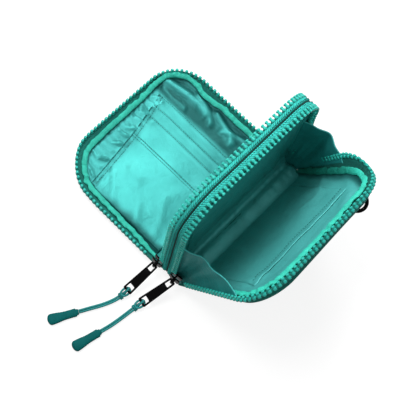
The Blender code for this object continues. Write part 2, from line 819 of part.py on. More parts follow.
def smooth_route(points, spacing):
    """Points at an even spacing on a smooth curve through the given points."""
    places = [Vector(p) for p in points]
    padded = [2 * places[0] - places[1]] + places + [2 * places[-1] - places[-2]]
    fine = []
    steps = 24
    for a, b, c, d in zip(padded, padded[1:], padded[2:], padded[3:]):
        for k in range(steps):
            t = k / steps
            fine.append(
                0.5
                * (
                    2 * b
                    + (c - a) * t
                    + (2 * a - 5 * b + 4 * c - d) * t * t
                    + (3 * b - a - 3 * c + d) * t * t * t
                )
            )
    fine.append(places[-1])
    lengths = [0.0]
    for a, b in zip(fine, fine[1:]):
        lengths.append(lengths[-1] + (b - a).length)
    count = max(2, round(lengths[-1] / spacing))
    result = []
    for k in range(count + 1):
        want = lengths[-1] * k / count
        at = next(i for i, have in enumerate(lengths) if have >= want - WELD)
        if at == 0:
            result.append(fine[0])
            continue
        share = (want - lengths[at - 1]) / (lengths[at] - lengths[at - 1])
        result.append(fine[at - 1].lerp(fine[at], share))
    return result


def cord_and_grip(word, pull_place, pull_holder, route):
    """The doubled cord looped round the pull's end bar, its wrapped knot and its moulded grip."""
    end_frame = pull_place @ Matrix.Translation((PULL_LENGTH, 0, 0))
    holder = add_empty(word + "_cord_hinge", end_frame, pull_holder, pull_place)
    across = end_frame.to_3x3() @ Vector((0, 1, 0))
    along = end_frame.to_3x3() @ Vector((1, 0, 0))
    normal = end_frame.to_3x3() @ Vector((0, 0, 1))
    bar = end_frame.translation
    spread = [Vector(p) for p in route]
    last = (spread[-1] - spread[-2]).normalized()
    sides = []
    for k, place in enumerate(spread):
        ahead = spread[min(k + 1, len(spread) - 1)] - spread[max(k - 1, 0)]
        sides.append(Vector((-ahead.y, ahead.x, 0)).normalized() * CORD_SPREAD)
    twist = across * (CORD_SPREAD * LOOP_LATERAL_SHARE)
    half_turn = [
        bar
        + twist * math.cos(math.pi * k / LOOP_STEPS)
        - along * CORD_LOOP_RADIUS * math.sin(math.pi * k / LOOP_STEPS)
        + normal * CORD_LOOP_RADIUS * math.cos(math.pi * k / LOOP_STEPS)
        for k in range(LOOP_STEPS + 1)
    ]
    first = [p + s for p, s in zip(spread, sides)]
    second = [p - s for p, s in zip(spread, sides)]
    strand = first[::-1] + half_turn + second
    points = smooth_route(strand, CORD_POINT_SPACING)
    cord = tube(word + "_cord", points, CORD_RADIUS, CORD)
    cord.parent = holder
    cord.matrix_parent_inverse = end_frame.inverted()

    mouth = spread[-1] + last * SEAT_GAP
    turn = Matrix.Rotation(math.atan2(last.y, last.x), 4, "Z")
    seat = Matrix.Translation(mouth) @ turn
    grip = box(
        word + "_grip",
        (0, -GRIP_WIDTH / 2, -GRIP_THICKNESS / 2),
        (GRIP_LENGTH, GRIP_WIDTH / 2, GRIP_THICKNESS / 2),
        GRIP,
        rounding=GRIP_ROUNDING,
    )
    for vertex in grip.data.vertices:
        if vertex.co.x < GRIP_LENGTH / 2:
            vertex.co.y *= GRIP_MOUTH_SHARE
    grip.parent = holder
    grip.matrix_parent_inverse = end_frame.inverted()
    grip.matrix_basis = seat

    knot_place = (spread[0] + spread[1]) / 2
    knot_turn = (spread[1] - spread[0]).to_track_quat("Z", "X").to_matrix().to_4x4()
    inner = (CORD_SPREAD + CORD_RADIUS + KNOT_CLEARANCE, CORD_RADIUS + KNOT_CLEARANCE)
    rings = [rounded_loop(*inner), rounded_loop(inner[0] + KNOT_WALL, inner[1] + KNOT_WALL)]
    knot = flat_outline(word + "_cord_wrap", rings[::-1], KNOT_LENGTH, CORD, holder)
    knot.matrix_parent_inverse = end_frame.inverted()
    ahead = (spread[1] - spread[0]).normalized()
    level = Vector((-ahead.y, ahead.x, 0)).normalized()
    upright = ahead.cross(level)
    basis = Matrix((level, upright, ahead)).transposed().to_4x4()
    knot.matrix_basis = Matrix.Translation(knot_place) @ basis


LOOP_STEPS = 8
LOOP_LATERAL_SHARE = 0.6


def rounded_loop(half_width, half_height, steps=4):
    """A stadium outline with the given half width and half height."""
    centre = half_width - half_height
    right = [
        (centre + half_height * math.sin(a), -half_height * math.cos(a))
        for a in [math.pi * k / (2 * steps) for k in range(2 * steps + 1)]
    ]
    return right + [(-x, -y) for x, y in right]


def d_ring(leaf_hinge, leaf_place):
    """The D-ring and the folded webbing tab that is sewn to the shell and holds its straight bar."""
    outer = RING_BORE_RADIUS + RING_TAB_WALL
    fold = 2 * RING_TAB_WALL
    depth = LEAF_DEPTH + SEAT_GAP + outer
    steps = 14
    first = math.acos((fold - outer) / outer)
    loop = [(-outer, 0), (-outer, RING_TAB_LENGTH), (fold - outer, RING_TAB_LENGTH)]
    bore = []
    for k in range(steps):
        angle = first - (first + math.pi) * k / steps
        loop.append((outer * math.cos(angle), outer * math.sin(angle)))
        angle = 2 * math.pi * k / steps
        bore.append((RING_BORE_RADIUS * math.cos(angle), RING_BORE_RADIUS * math.sin(angle)))
    stand = Matrix(((0, 0, 1, 0), (1, 0, 0, 0), (0, 1, 0, 0), (0, 0, 0, 1)))
    place = Matrix.Translation((RING_X, depth, RING_HEIGHT))
    flat_outline("d_ring_tab", [loop, bore], RING_TAB_WIDTH, TAPE, leaf_hinge, place @ stand)

    pivot = Matrix.Translation((leaf_place @ place).translation)
    holder = add_empty("d_ring_hinge", pivot, leaf_hinge, leaf_place)
    half = RING_INNER_WIDTH / 2 + RING_STOCK_RADIUS
    points = [(half, 0, 0)]
    for k in range(RING_STEPS + 1):
        angle = math.pi * k / RING_STEPS
        points.append((half * math.cos(angle), RING_ARM + RING_BULGE * math.sin(angle), 0))
    points.append((-half, 0, 0))
    tube("d_ring", points, RING_STOCK_RADIUS, METAL, holder, closed=True, sides=2)


clear_scene()
POUCH = new_collection("wristlet_pouch")
CUTTERS = new_collection("helpers", hidden=True)

SHELL = new_material("shell fabric", (0.016, 0.16, 0.13), 0.75)
LINING = new_material("satin lining", (0.07, 0.60, 0.55), 0.4)
GUSSET = new_material("gusset lining", (0.035, 0.30, 0.28), 0.45)
FOAM = new_material("foam sheet", (0.75, 0.75, 0.72), 0.95)
BOARD = new_material("stiffener board", (0.55, 0.55, 0.52), 0.9)
TAPE = new_material("zip tape", (0.02, 0.33, 0.24), 0.8)
BINDING = new_material("bias binding", (0.04, 0.55, 0.40), 0.7)
PIPING = new_material("seam piping", (0.01, 0.15, 0.12), 0.7)
TEETH = new_material("moulded teeth", (0.03, 0.50, 0.38), 0.3)
METAL = new_material("black metal", (0.012, 0.012, 0.013), 0.25, 1.0)
CORD = new_material("cord", (0.012, 0.16, 0.15), 0.75)
GRIP = new_material("moulded grip", (0.012, 0.15, 0.14), 0.5)

front_matrix = Matrix.Translation((0, FRONT * HALF_BAND, HINGE_HEIGHT)) @ Matrix.Rotation(
    math.radians(FRONT_LEAN_DEG), 4, "X"
)
rear_matrix = Matrix.Translation((0, REAR * HALF_BAND, HINGE_HEIGHT)) @ Matrix.Rotation(
    -math.radians(REAR_LEAN_DEG), 4, "X"
)
front_hinge = add_empty("front_leaf_hinge", front_matrix)
rear_hinge = add_empty("rear_leaf_hinge", rear_matrix)
upright = add_empty("divider_foot", Matrix.Translation((0, 0, HINGE_HEIGHT)))

leaf("front", FRONT, front_hinge)
card_pockets(front_hinge)
leaf("rear", REAR, rear_hinge)
slip_pocket("rear_slip_pocket", REAR_SLIP_TOP, LINING_DEPTH - SEAT_GAP, REAR, rear_hinge)
divider(upright)
spine()
gusset(
    "gusset_slider_end",
    1,
    SLIDER_GUSSET_INSET,
    SLIDER_GUSSET_LEAF_HEIGHT,
    SLIDER_GUSSET_DIP,
    SLIDER_GUSSET_BULGE,
    SLIDER_GUSSET_ROUND_SHARE,
    SLIDER_GUSSET_LOW_SHARE,
)
gusset(
    "gusset_ring_end",
    -1,
    RING_GUSSET_INSET,
    RING_GUSSET_LEAF_HEIGHT,
    RING_GUSSET_DIP,
    RING_GUSSET_BULGE,
    RING_GUSSET_ROUND_SHARE,
    RING_GUSSET_LOW_SHARE,
)
for word, side, yaw, route in (
    ("front", FRONT, FRONT_PULL_YAW_DEG, FRONT_CORD_ROUTE),
    ("rear", REAR, REAR_PULL_YAW_DEG, REAR_CORD_ROUTE),
):
    carrier, carrier_place = zip_slider(word, side)
    pull_place = pull_frame(side, yaw)
    pull_holder = zip_pull(word, pull_place, carrier, carrier_place)
    cord_and_grip(word, pull_place, pull_holder, route)
d_ring(rear_hinge, rear_matrix)
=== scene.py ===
"""The looks of a zip-round wristlet pouch with two compartments, lying open on its spine."""

import json
import math

import bmesh
import bpy
import numpy as np
from mathutils import Matrix, Vector, noise

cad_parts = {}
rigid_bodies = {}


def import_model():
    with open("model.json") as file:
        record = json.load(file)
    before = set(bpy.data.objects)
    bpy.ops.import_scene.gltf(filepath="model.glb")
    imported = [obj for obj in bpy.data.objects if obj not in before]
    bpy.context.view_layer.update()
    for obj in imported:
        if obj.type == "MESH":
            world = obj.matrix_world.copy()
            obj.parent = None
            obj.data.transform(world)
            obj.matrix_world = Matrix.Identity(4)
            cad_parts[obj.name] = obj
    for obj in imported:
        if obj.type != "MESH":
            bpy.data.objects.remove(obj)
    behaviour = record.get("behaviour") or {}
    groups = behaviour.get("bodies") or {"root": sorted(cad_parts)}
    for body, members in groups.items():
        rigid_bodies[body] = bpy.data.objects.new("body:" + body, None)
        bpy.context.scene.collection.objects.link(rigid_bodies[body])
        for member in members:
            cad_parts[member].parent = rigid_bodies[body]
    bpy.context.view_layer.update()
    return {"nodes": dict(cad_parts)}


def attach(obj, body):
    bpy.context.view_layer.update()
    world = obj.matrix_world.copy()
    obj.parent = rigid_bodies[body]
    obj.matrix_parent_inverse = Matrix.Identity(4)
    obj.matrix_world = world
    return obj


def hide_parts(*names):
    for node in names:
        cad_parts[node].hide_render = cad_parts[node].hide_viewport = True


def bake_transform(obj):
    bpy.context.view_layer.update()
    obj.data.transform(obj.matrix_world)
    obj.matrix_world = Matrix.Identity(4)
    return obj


for startup in list(bpy.data.objects):
    bpy.data.objects.remove(startup, do_unlink=True)
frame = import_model()


# Table, light and camera
# The pouch lies on a plain white table. A side lamp, a soft window over the pocket side and a soft
# top lamp light it. The camera looks down on it from the slider end.
TABLE_REACH = 4.0
TABLE_DROP = 0.0002
WHITE = (1, 1, 1, 1)


def add_node(tree, kind, **values):
    """A shader node with its properties set, and with its unlinked sockets set by name."""
    node = tree.nodes.new(kind)
    for name, value in values.items():
        if hasattr(node, name):
            setattr(node, name, value)
        else:
            node.inputs[name.replace("_", " ")].default_value = value
    return node


def math_node(tree, operation, *values, clamp=False):
    """Output of a Math node. Each value is a socket or a number."""
    node = add_node(tree, "ShaderNodeMath", operation=operation, use_clamp=clamp)
    for socket, value in zip(node.inputs, values):
        if isinstance(value, bpy.types.NodeSocket):
            tree.links.new(value, socket)
        else:
            socket.default_value = value
    return node.outputs[0]


def new_material(name, **values):
    """A material, its node tree and its main shader, whose own sockets are set by name."""
    material = bpy.data.materials.new(name)
    material.use_nodes = True
    shader = material.node_tree.nodes["Principled BSDF"]
    for socket, value in values.items():
        shader.inputs[socket.replace("_", " ")].default_value = value
    return material, material.node_tree, shader


def shown_rays(tree):
    """1 for rays that show what stands round the pouch, also in a reflection or through glass."""
    rays = add_node(tree, "ShaderNodeLightPath")
    seen = math_node(tree, "MAXIMUM", rays.outputs["Is Camera Ray"], rays.outputs["Is Glossy Ray"])
    return math_node(tree, "MAXIMUM", seen, rays.outputs["Is Transmission Ray"])


def add_object(name, data):
    obj = bpy.data.objects.new(name, data)
    bpy.context.scene.collection.objects.link(obj)
    return obj


table_material, tree, table_shader = new_material(
    "white table", Base_Color=(0.24, 0.24, 0.24, 1), Roughness=0.9
)
lift = add_node(tree, "ShaderNodeEmission", Color=WHITE)
tree.links.new(math_node(tree, "MULTIPLY", shown_rays(tree), 0.84), lift.inputs["Strength"])
both = add_node(tree, "ShaderNodeAddShader")
tree.links.new(table_shader.outputs[0], both.inputs[0])
tree.links.new(lift.outputs[0], both.inputs[1])
tree.links.new(both.outputs[0], tree.nodes["Material Output"].inputs["Surface"])
table_mesh = bpy.data.meshes.new("table")
table_mesh.from_pydata(
    [(x * TABLE_REACH, y * TABLE_REACH, -TABLE_DROP) for x, y in ((-1, -1), (1, -1), (1, 1), (-1, 1))],
    [],
    [(0, 1, 2, 3)],
)
table_mesh.materials.append(table_material)
add_object("table", table_mesh)

room = bpy.data.worlds.new("room")
room.use_nodes = True
tree = room.node_tree
backdrop = tree.nodes["Background"]
backdrop.inputs["Color"].default_value = WHITE
tree.links.new(math_node(tree, "MULTIPLY_ADD", shown_rays(tree), 0.64, 0.36), backdrop.inputs["Strength"])
bpy.context.scene.world = room

for name, place, aim, size, power in (
    ("side lamp", (-0.60, -0.46, 0.70), (0.0, -0.03, 0.02), 0.40, 5.0),
    ("window", (-0.15, -0.30, 0.69), (0.03, -0.08, 0.0), 0.26, 1.25),
    ("top lamp", (0.16, -0.34, 1.00), (0.0, 0.04, 0.05), 0.40, 5.2),
):
    disk = bpy.data.lights.new(name, "AREA")
    disk.shape, disk.size, disk.energy = "DISK", size, power
    lamp = add_object(name, disk)
    lamp.location = place
    lamp.rotation_euler = (Vector(aim) - Vector(place)).to_track_quat("-Z", "Y").to_euler()

camera_data = bpy.data.cameras.new("camera")
camera_data.sensor_width, camera_data.lens = 36.0, 81.93
camera_data.clip_start, camera_data.clip_end = 0.05, 20.0
camera = add_object("camera", camera_data)
camera.matrix_world = Matrix(
    (
        (-0.66970, -0.65057, 0.35815, 0.39428),
        (0.73056, -0.66374, 0.16040, 0.15221),
        (0.13337, 0.36907, 0.91978, 0.99470),
        (0, 0, 0, 1),
    )
)
bpy.context.scene.camera = camera
bpy.context.scene.view_settings.view_transform = "Standard"


# Pull cords
# On each zip a braided cord is looped round the end bar of the metal pull, and both its ends run
# side by side into a moulded grip. The cords lie on the table.
CORD_RADIUS = 0.0012
CORD_SPREAD = 0.00120
CORD_LOOP_RADIUS = 0.0031
CORD_LOOP_STEPS = 8
CORD_LOOP_SHARE = 0.6
CORD_SPACING = 0.003
FRONT_CORD_ROUTE = (
    (0.1512, -0.0178, 0.0034),
    (0.1620, -0.0205, 0.0028),
    (0.1735, -0.0254, 0.0028),
    (0.1850, -0.0318, 0.0028),
    (0.1960, -0.0378, 0.0028),
)
REAR_CORD_ROUTE = (
    (0.1502, 0.0020, 0.0034),
    (0.1610, 0.0005, 0.0028),
    (0.1722, -0.0010, 0.0028),
    (0.1838, -0.0030, 0.0028),
    (0.1950, -0.0058, 0.0028),
)
# Each pull's word, its side of the divider, its turn about the upright in degrees, and its cord
PULLS = (("front", -1, -6.0, FRONT_CORD_ROUTE), ("rear", 1, -15.0, REAR_CORD_ROUTE))
HALF_BAND = 0.0132
PULL_HINGE = (0.1064, 0.0241)
PULL_DROP = math.radians(25.0)
PULL_LENGTH = 0.041


def pull_frame(side, turn):
    """Frame of a pull: its hinge is the origin, +X runs along it and +Z is out of its upper face."""
    return (
        Matrix.Translation((PULL_HINGE[0], side * HALF_BAND, PULL_HINGE[1]))
        @ Matrix.Rotation(math.radians(turn), 4, "Z")
        @ Matrix.Rotation(PULL_DROP, 4, "Y")
    )


def pull_end(side, turn):
    """Middle of the pull's end bar, and the directions along, across and up from the pull."""
    end = pull_frame(side, turn) @ Matrix.Translation((PULL_LENGTH, 0, 0))
    turned = end.to_3x3()
    return end.translation, turned.col[0], turned.col[1], turned.col[2]


def smooth_route(points, spacing):
    """Points at an even spacing on a smooth curve through the given points."""
    places = [Vector(p) for p in points]
    padded = [2 * places[0] - places[1]] + places + [2 * places[-1] - places[-2]]
    fine = []
    for a, b, c, d in zip(padded, padded[1:], padded[2:], padded[3:]):
        for k in range(24):
            t = k / 24
            fine.append(
                0.5
                * (
                    2 * b
                    + (c - a) * t
                    + (2 * a - 5 * b + 4 * c - d) * t * t
                    + (3 * b - a - 3 * c + d) * t * t * t
                )
            )
    fine.append(places[-1])
    lengths = [0.0]
    for a, b in zip(fine, fine[1:]):
        lengths.append(lengths[-1] + (b - a).length)
    count = max(2, round(lengths[-1] / spacing))
    found = []
    for k in range(count + 1):
        want = lengths[-1] * k / count
        at = next(i for i, have in enumerate(lengths) if have >= want - 1e-6)
        if at == 0:
            found.append(fine[0])
            continue
        share = (want - lengths[at - 1]) / (lengths[at] - lengths[at - 1])
        found.append(fine[at - 1].lerp(fine[at], share))
    return found


def level_across(ahead):
    """The level direction across a line."""
    return Vector((-ahead.y, ahead.x, 0)).normalized()


def cord_line(route, side, turn):
    """The doubled cord's line: from the grip round the pull's end bar and back to the grip."""
    bar, along, across, up = pull_end(side, turn)
    middles = [Vector(p) for p in route]
    last = len(middles) - 1
    shifts = [
        level_across(middles[min(k + 1, last)] - middles[max(k - 1, 0)]) * CORD_SPREAD
        for k in range(last + 1)
    ]
    half_turn = []
    for k in range(CORD_LOOP_STEPS + 1):
        angle = math.pi * k / CORD_LOOP_STEPS
        half_turn.append(
            bar
            + across * (CORD_SPREAD * CORD_LOOP_SHARE) * math.cos(angle)
            - along * CORD_LOOP_RADIUS * math.sin(angle)
            + up * CORD_LOOP_RADIUS * math.cos(angle)
        )
    first = [p + shift for p, shift in zip(middles, shifts)]
    second = [p - shift for p, shift in zip(middles, shifts)]
    return smooth_route(first[::-1] + half_turn + second, CORD_SPACING)


def swept(points, radius, sides, closed=False):
    """Grid of points of a tube, with a ring of sides at each point of its line."""
    points = np.array([tuple(p) for p in points], float)
    ahead = np.roll(points, -1, 0) - np.roll(points, 1, 0)
    if not closed:
        ahead[0], ahead[-1] = points[1] - points[0], points[-1] - points[-2]
    ahead /= np.linalg.norm(ahead, axis=1)[:, None]
    side = np.cross(ahead[0], (0, 0, 1.0))
    if np.linalg.norm(side) < 0.1:
        side = np.cross(ahead[0], (0, 1.0, 0))
    angles = 2 * np.pi * np.arange(sides) / sides
    grid = np.zeros((len(points), sides, 3))
    for k, point in enumerate(points):
        side = side - ahead[k] * (side @ ahead[k])
        side /= np.linalg.norm(side)
        up = np.cross(side, ahead[k])
        grid[k] = point + radius * (np.outer(np.cos(angles), side) + np.outer(np.sin(angles), up))
    return grid


def rod(grid):
    """A grid as a tube with capped ends."""
    return grid, False, True, True, None


def hoop(grid):
    """A grid as a tube that closes on itself."""
    return grid, True, True, False, None


def panel(rows, places=None):
    """Rows of points as an open sheet, which may say where each point lies on the flat cloth."""
    return np.array(rows), False, False, False, None if places is None else np.array(places)


def lengths_along(grid, axis):
    """Distances along one direction of a grid of points, from its first row."""
    steps = np.linalg.norm(np.diff(grid, axis=axis), axis=2)
    start = np.zeros_like(np.take(steps, [0], axis=axis))
    return np.concatenate([start, np.cumsum(steps, axis=axis)], axis=axis)


def piece_from_grids(name, grids, material):
    """A mesh piece from grids of points. Each grid is (points, closed along, closed across, capped
    ends, cloth places or None), and its faces carry distances over the cloth as the map "cloth"."""
    mesh = bpy.data.meshes.new(name)
    vertices, faces, places = [], [], []
    for points, closed_along, closed_across, capped, given in grids:
        rows, columns = points.shape[:2]
        base = len(vertices)
        vertices += [tuple(p) for p in points.reshape(-1, 3)]
        if given is None:
            given = np.stack([lengths_along(points, 0), lengths_along(points, 1)], axis=2)
        last_row = rows if closed_along else rows - 1
        last_column = columns if closed_across else columns - 1
        for r in range(last_row):
            for c in range(last_column):
                r2, c2 = (r + 1) % rows, (c + 1) % columns
                faces.append(
                    (base + r * columns + c, base + r2 * columns + c,
                     base + r2 * columns + c2, base + r * columns + c2)
                )
                here, next_row = given[r, c], given[r2, c]
                far, next_column = given[r2, c2], given[r, c2]
                if r2 == 0:
                    step = given[r, c] - given[r - 1, c]
                    next_row, far = given[r, c] + step, given[r, c2] + step
                if c2 == 0:
                    step = given[r, c] - given[r, c - 1]
                    next_column, far = given[r, c] + step, next_row + step
                places.append((here, next_row, far, next_column))
        if capped:
            for r, order in ((0, 1), (rows - 1, -1)):
                ring = [base + r * columns + c for c in range(columns)][::order]
                faces.append(tuple(ring))
                places.append([given[r, c] for c in range(columns)][::order])
    mesh.from_pydata(vertices, [], faces)
    layer = mesh.uv_layers.new(name="cloth")
    layer.uv.foreach_set("vector", np.array([p for face in places for p in face], np.float32).ravel())
    shaped = bmesh.new()
    shaped.from_mesh(mesh)
    bmesh.ops.recalc_face_normals(shaped, faces=shaped.faces)
    shaped.to_mesh(mesh)
    shaped.free()
    mesh.shade_smooth()
    mesh.set_sharp_from_angle(angle=math.radians(50))
    mesh.materials.append(material)
    return add_object(name, mesh)


def new_group(name, inputs, outputs):
    """A shader node group with named inputs (name, kind, default) and outputs (name, kind)."""
    group = bpy.data.node_groups.new(name, "ShaderNodeTree")
    for label, kind, default in inputs:
        socket = group.interface.new_socket(label, in_out="INPUT", socket_type=kind)
        if default is not None:
            socket.default_value = default
    for label, kind in outputs:
        group.interface.new_socket(label, in_out="OUTPUT", socket_type=kind)
    return group, group.nodes.new("NodeGroupInput"), group.nodes.new("NodeGroupOutput")


FLOAT, COLOUR, VECTOR = "NodeSocketFloat", "NodeSocketColor", "NodeSocketVector"


def wave(tree, value):
    return math_node(tree, "SINE", math_node(tree, "MULTIPLY", value, math.pi))


# Threads: woven or braided yarn, as a height and a mask of the gaps between yarns. Slant 0 is a
# plain weave, 1 a twill or braid, and Fold turns the twill's slant about a middle line.
THREADS, given, made = new_group(
    "threads",
    [("Place", VECTOR, None), ("Per metre", FLOAT, 1500.0), ("Slant", FLOAT, 0.0), ("Fold", FLOAT, 0.0)],
    [("Height", FLOAT), ("Gaps", FLOAT)],
)
apart = add_node(THREADS, "ShaderNodeSeparateXYZ")
THREADS.links.new(given.outputs["Place"], apart.inputs[0])
along = math_node(THREADS, "MULTIPLY", apart.outputs[0], given.outputs["Per metre"])
across = math_node(THREADS, "MULTIPLY", apart.outputs[1], given.outputs["Per metre"])
plain = math_node(THREADS, "MULTIPLY", wave(THREADS, along), wave(THREADS, across))
folded = math_node(THREADS, "MULTIPLY", math_node(THREADS, "PINGPONG", across, 4.0), given.outputs["Fold"])
unfolded = math_node(THREADS, "SUBTRACT", 1.0, given.outputs["Fold"])
mixed = math_node(THREADS, "ADD", folded, math_node(THREADS, "MULTIPLY", across, unfolded))
diagonal = wave(THREADS, math_node(THREADS, "ADD", along, mixed))
blend = add_node(THREADS, "ShaderNodeMix", data_type="FLOAT")
THREADS.links.new(given.outputs["Slant"], blend.inputs["Factor"])
THREADS.links.new(plain, blend.inputs[2])
THREADS.links.new(diagonal, blend.inputs[3])
height = math_node(THREADS, "MULTIPLY_ADD", blend.outputs[0], 0.5, 0.5)
filled = math_node(THREADS, "MULTIPLY", height, 2.5, clamp=True)
THREADS.links.new(height, made.inputs["Height"])
THREADS.links.new(math_node(THREADS, "SUBTRACT", 1.0, filled), made.inputs["Gaps"])

# Tone: a dye's slow light and dark patches, with the darker colour also where a mask asks for it.
TONE, given, made = new_group(
    "dye tone",
    [
        ("Place", VECTOR, None),
        ("Light", COLOUR, (1, 1, 1, 1)),
        ("Dark", COLOUR, (0, 0, 0, 1)),
        ("Patches per metre", FLOAT, 40.0),
        ("Depth", FLOAT, 0.4),
        ("Mask", FLOAT, 0.0),
    ],
    [("Color", COLOUR)],
)
patches = add_node(TONE, "ShaderNodeTexNoise", Detail=3.0, Roughness=0.55)
TONE.links.new(given.outputs["Place"], patches.inputs["Vector"])
TONE.links.new(given.outputs["Patches per metre"], patches.inputs["Scale"])
spread = math_node(TONE, "SUBTRACT", patches.outputs["Fac"], 0.38)
spread = math_node(TONE, "MULTIPLY", spread, 2.6, clamp=True)
amount = math_node(TONE, "MULTIPLY", spread, given.outputs["Depth"])
amount = math_node(TONE, "ADD", amount, given.outputs["Mask"], clamp=True)
colours = add_node(TONE, "ShaderNodeMix", data_type="RGBA")
TONE.links.new(amount, colours.inputs["Factor"])
TONE.links.new(given.outputs["Light"], colours.inputs[6])
TONE.links.new(given.outputs["Dark"], colours.inputs[7])
TONE.links.new(colours.outputs[2], made.inputs["Color"])


def dyed(tree, place, light, dark, patches=40.0, depth=0.4):
    """The node that gives a dye's tone at a place."""
    tone = add_node(
        tree, "ShaderNodeGroup", node_tree=TONE, Light=(*light, 1), Dark=(*dark, 1),
        Patches_per_metre=patches, Depth=depth,
    )
    tree.links.new(place, tone.inputs["Place"])
    return tone


def embossed(tree, height, strength, distance, coarser=None):
    """Normal of a relief, which may lie on a coarser one."""
    relief = add_node(tree, "ShaderNodeBump", Strength=strength, Distance=distance)
    tree.links.new(height, relief.inputs["Height"])
    if coarser is not None:
        tree.links.new(coarser, relief.inputs["Normal"])
    return relief.outputs[0]


# Colour that painted shade multiplies into a yarn's colour at full strength.
PAINTED_SHADE_COLOUR = (0.10, 0.19, 0.19, 1)
THREAD_RELIEF = 0.0004
CRINKLE_RELIEF = 0.0015


def yarn_material(name, light, dark, per_metre, slant, fold, roughness, sheen, depth=0.4, gaps=0.35,
                  bump=0.35, patches=45.0, crinkle=0.0, crinkle_per_metre=160.0, silk=0.0, gloss=0.25):
    """Woven or braided yarn: dye tone, threads from the map "cloth", sheen, and a fine crinkle. Its
    colour is darkened by painted shade, from 0 to 1, where a piece carries a shade attribute."""
    material, tree, shader = new_material(
        name, Roughness=roughness, Specular_IOR_Level=gloss, Metallic=silk,
        Sheen_Weight=sheen, Sheen_Roughness=0.35, Sheen_Tint=(*light, 1),
    )
    cloth = add_node(tree, "ShaderNodeUVMap", uv_map="cloth")
    place = add_node(tree, "ShaderNodeTexCoord").outputs["Object"]
    threads = add_node(
        tree, "ShaderNodeGroup", node_tree=THREADS, Per_metre=per_metre, Slant=slant, Fold=fold
    )
    tree.links.new(cloth.outputs[0], threads.inputs["Place"])
    tone = dyed(tree, place, light, dark, patches, depth)
    tree.links.new(math_node(tree, "MULTIPLY", threads.outputs["Gaps"], gaps), tone.inputs["Mask"])
    # Painted shade: a per-point attribute darkens the base colour.
    painted_shade_amount = add_node(tree, "ShaderNodeAttribute", attribute_name="seam shade")
    darker = add_node(tree, "ShaderNodeMix", data_type="RGBA", blend_type="MULTIPLY")
    tree.links.new(painted_shade_amount.outputs["Fac"], darker.inputs["Factor"])
    tree.links.new(tone.outputs[0], darker.inputs[6])
    darker.inputs[7].default_value = PAINTED_SHADE_COLOUR
    tree.links.new(darker.outputs[2], shader.inputs["Base Color"])
    creased = None
    if crinkle:
        folds = add_node(
            tree, "ShaderNodeTexNoise", Scale=crinkle_per_metre, Detail=4.0, Roughness=0.6, Distortion=0.8
        )
        tree.links.new(place, folds.inputs["Vector"])
        creased = embossed(tree, folds.outputs["Fac"], crinkle, CRINKLE_RELIEF)
    normal = embossed(tree, threads.outputs["Height"], bump, THREAD_RELIEF, creased)
    tree.links.new(normal, shader.inputs["Normal"])
    return material


CORD_YARN = yarn_material(
    "braided cord", (0.012, 0.25, 0.245), (0.004, 0.09, 0.088), 1100.0, 1.0, 1.0, 0.5, 0.05,
    gaps=0.35, bump=0.4,
)
PULL_CORDS = {}
for word, side, turn, route in PULLS:
    line = cord_line(route, side, turn)
    cord = piece_from_grids(word + "_pull_cord", [rod(swept(line, CORD_RADIUS, 12))], CORD_YARN)
    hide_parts(word + "_cord")
    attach(cord, word + "_puller")
    PULL_CORDS[word] = [cord, line]


# Cord wraps
# Each cord is hitched to the pull's end bar with a loop, and past it a thinner cord of the same
# yarn is knotted tightly round both strands.
WRAP_TURNS = 2
WRAP_YARN_RADIUS = 0.00075
WRAP_LENGTH = 0.0024
WRAP_SETBACK = 0.0042
WRAP_STEPS = 16
BAR_LOOP_MIDDLE = 0.0027
BAR_LOOP_REACH = 0.0049
BAR_LOOP_HALF_WIDTH = 0.0037
BAR_LOOP_RISE = 0.0027
BAR_LOOP_STEPS = 40


def wrap_line(route):
    """Two tight turns round the cord's strands, just past the pull."""
    a, b = Vector(route[0]), Vector(route[1])
    ahead = (b - a).normalized()
    level = level_across(ahead)
    up = ahead.cross(level)
    middle = (a + b) / 2 - ahead * WRAP_SETBACK
    reach = CORD_RADIUS + WRAP_YARN_RADIUS * 1.2
    points = []
    steps = WRAP_TURNS * WRAP_STEPS
    for k in range(steps + 1):
        angle = 2 * math.pi * k / WRAP_STEPS
        shift = (k / steps - 0.5) * WRAP_LENGTH
        wide = math.copysign(CORD_SPREAD, math.cos(angle)) * min(1.0, abs(math.cos(angle)) * 1.6)
        points.append(
            middle + ahead * shift + level * (wide + reach * math.cos(angle)) + up * reach * math.sin(angle)
        )
    return points


def bar_loop(route, side, turn):
    """A closed loop of cord that lies over both strands and passes under the pull's end bar."""
    bar, along, across, up = pull_end(side, turn)
    away = (Vector(route[0]) - bar).normalized()
    points = []
    for k in range(BAR_LOOP_STEPS):
        angle = 2 * math.pi * k / BAR_LOOP_STEPS
        c, d = math.cos(angle), math.sin(angle)
        points.append(
            bar
            + away * (BAR_LOOP_MIDDLE + BAR_LOOP_REACH * c)
            + across * math.copysign(BAR_LOOP_HALF_WIDTH * abs(d) ** 0.8, d)
            + up * BAR_LOOP_RISE * c
        )
    return points


for word, side, turn, route in PULLS:
    turns = rod(swept(wrap_line(route), WRAP_YARN_RADIUS, 8))
    hitch = hoop(swept(bar_loop(route, side, turn), CORD_RADIUS, 12, closed=True))
    wrap = piece_from_grids(word + "_cord_wrapping", [turns, hitch], CORD_YARN)
    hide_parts(word + "_cord_wrap")
    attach(wrap, word + "_puller")
    PULL_CORDS[word].append(wrap)


# Moulded grips
# A soft rubber grip is moulded over the ends of each cord. It is slim at its mouth, fuller towards
# its round end, and has shallow grooves across it.
GRIP_LENGTH = 0.034
GRIP_STATIONS = 64
GRIP_SIDES = 24
GROOVES_START, GROOVES_END = 0.14, 0.60
GROOVE_PITCH = 0.070
GROOVE_DEPTH = 0.00022
GRAIN_RELIEF = 0.0002


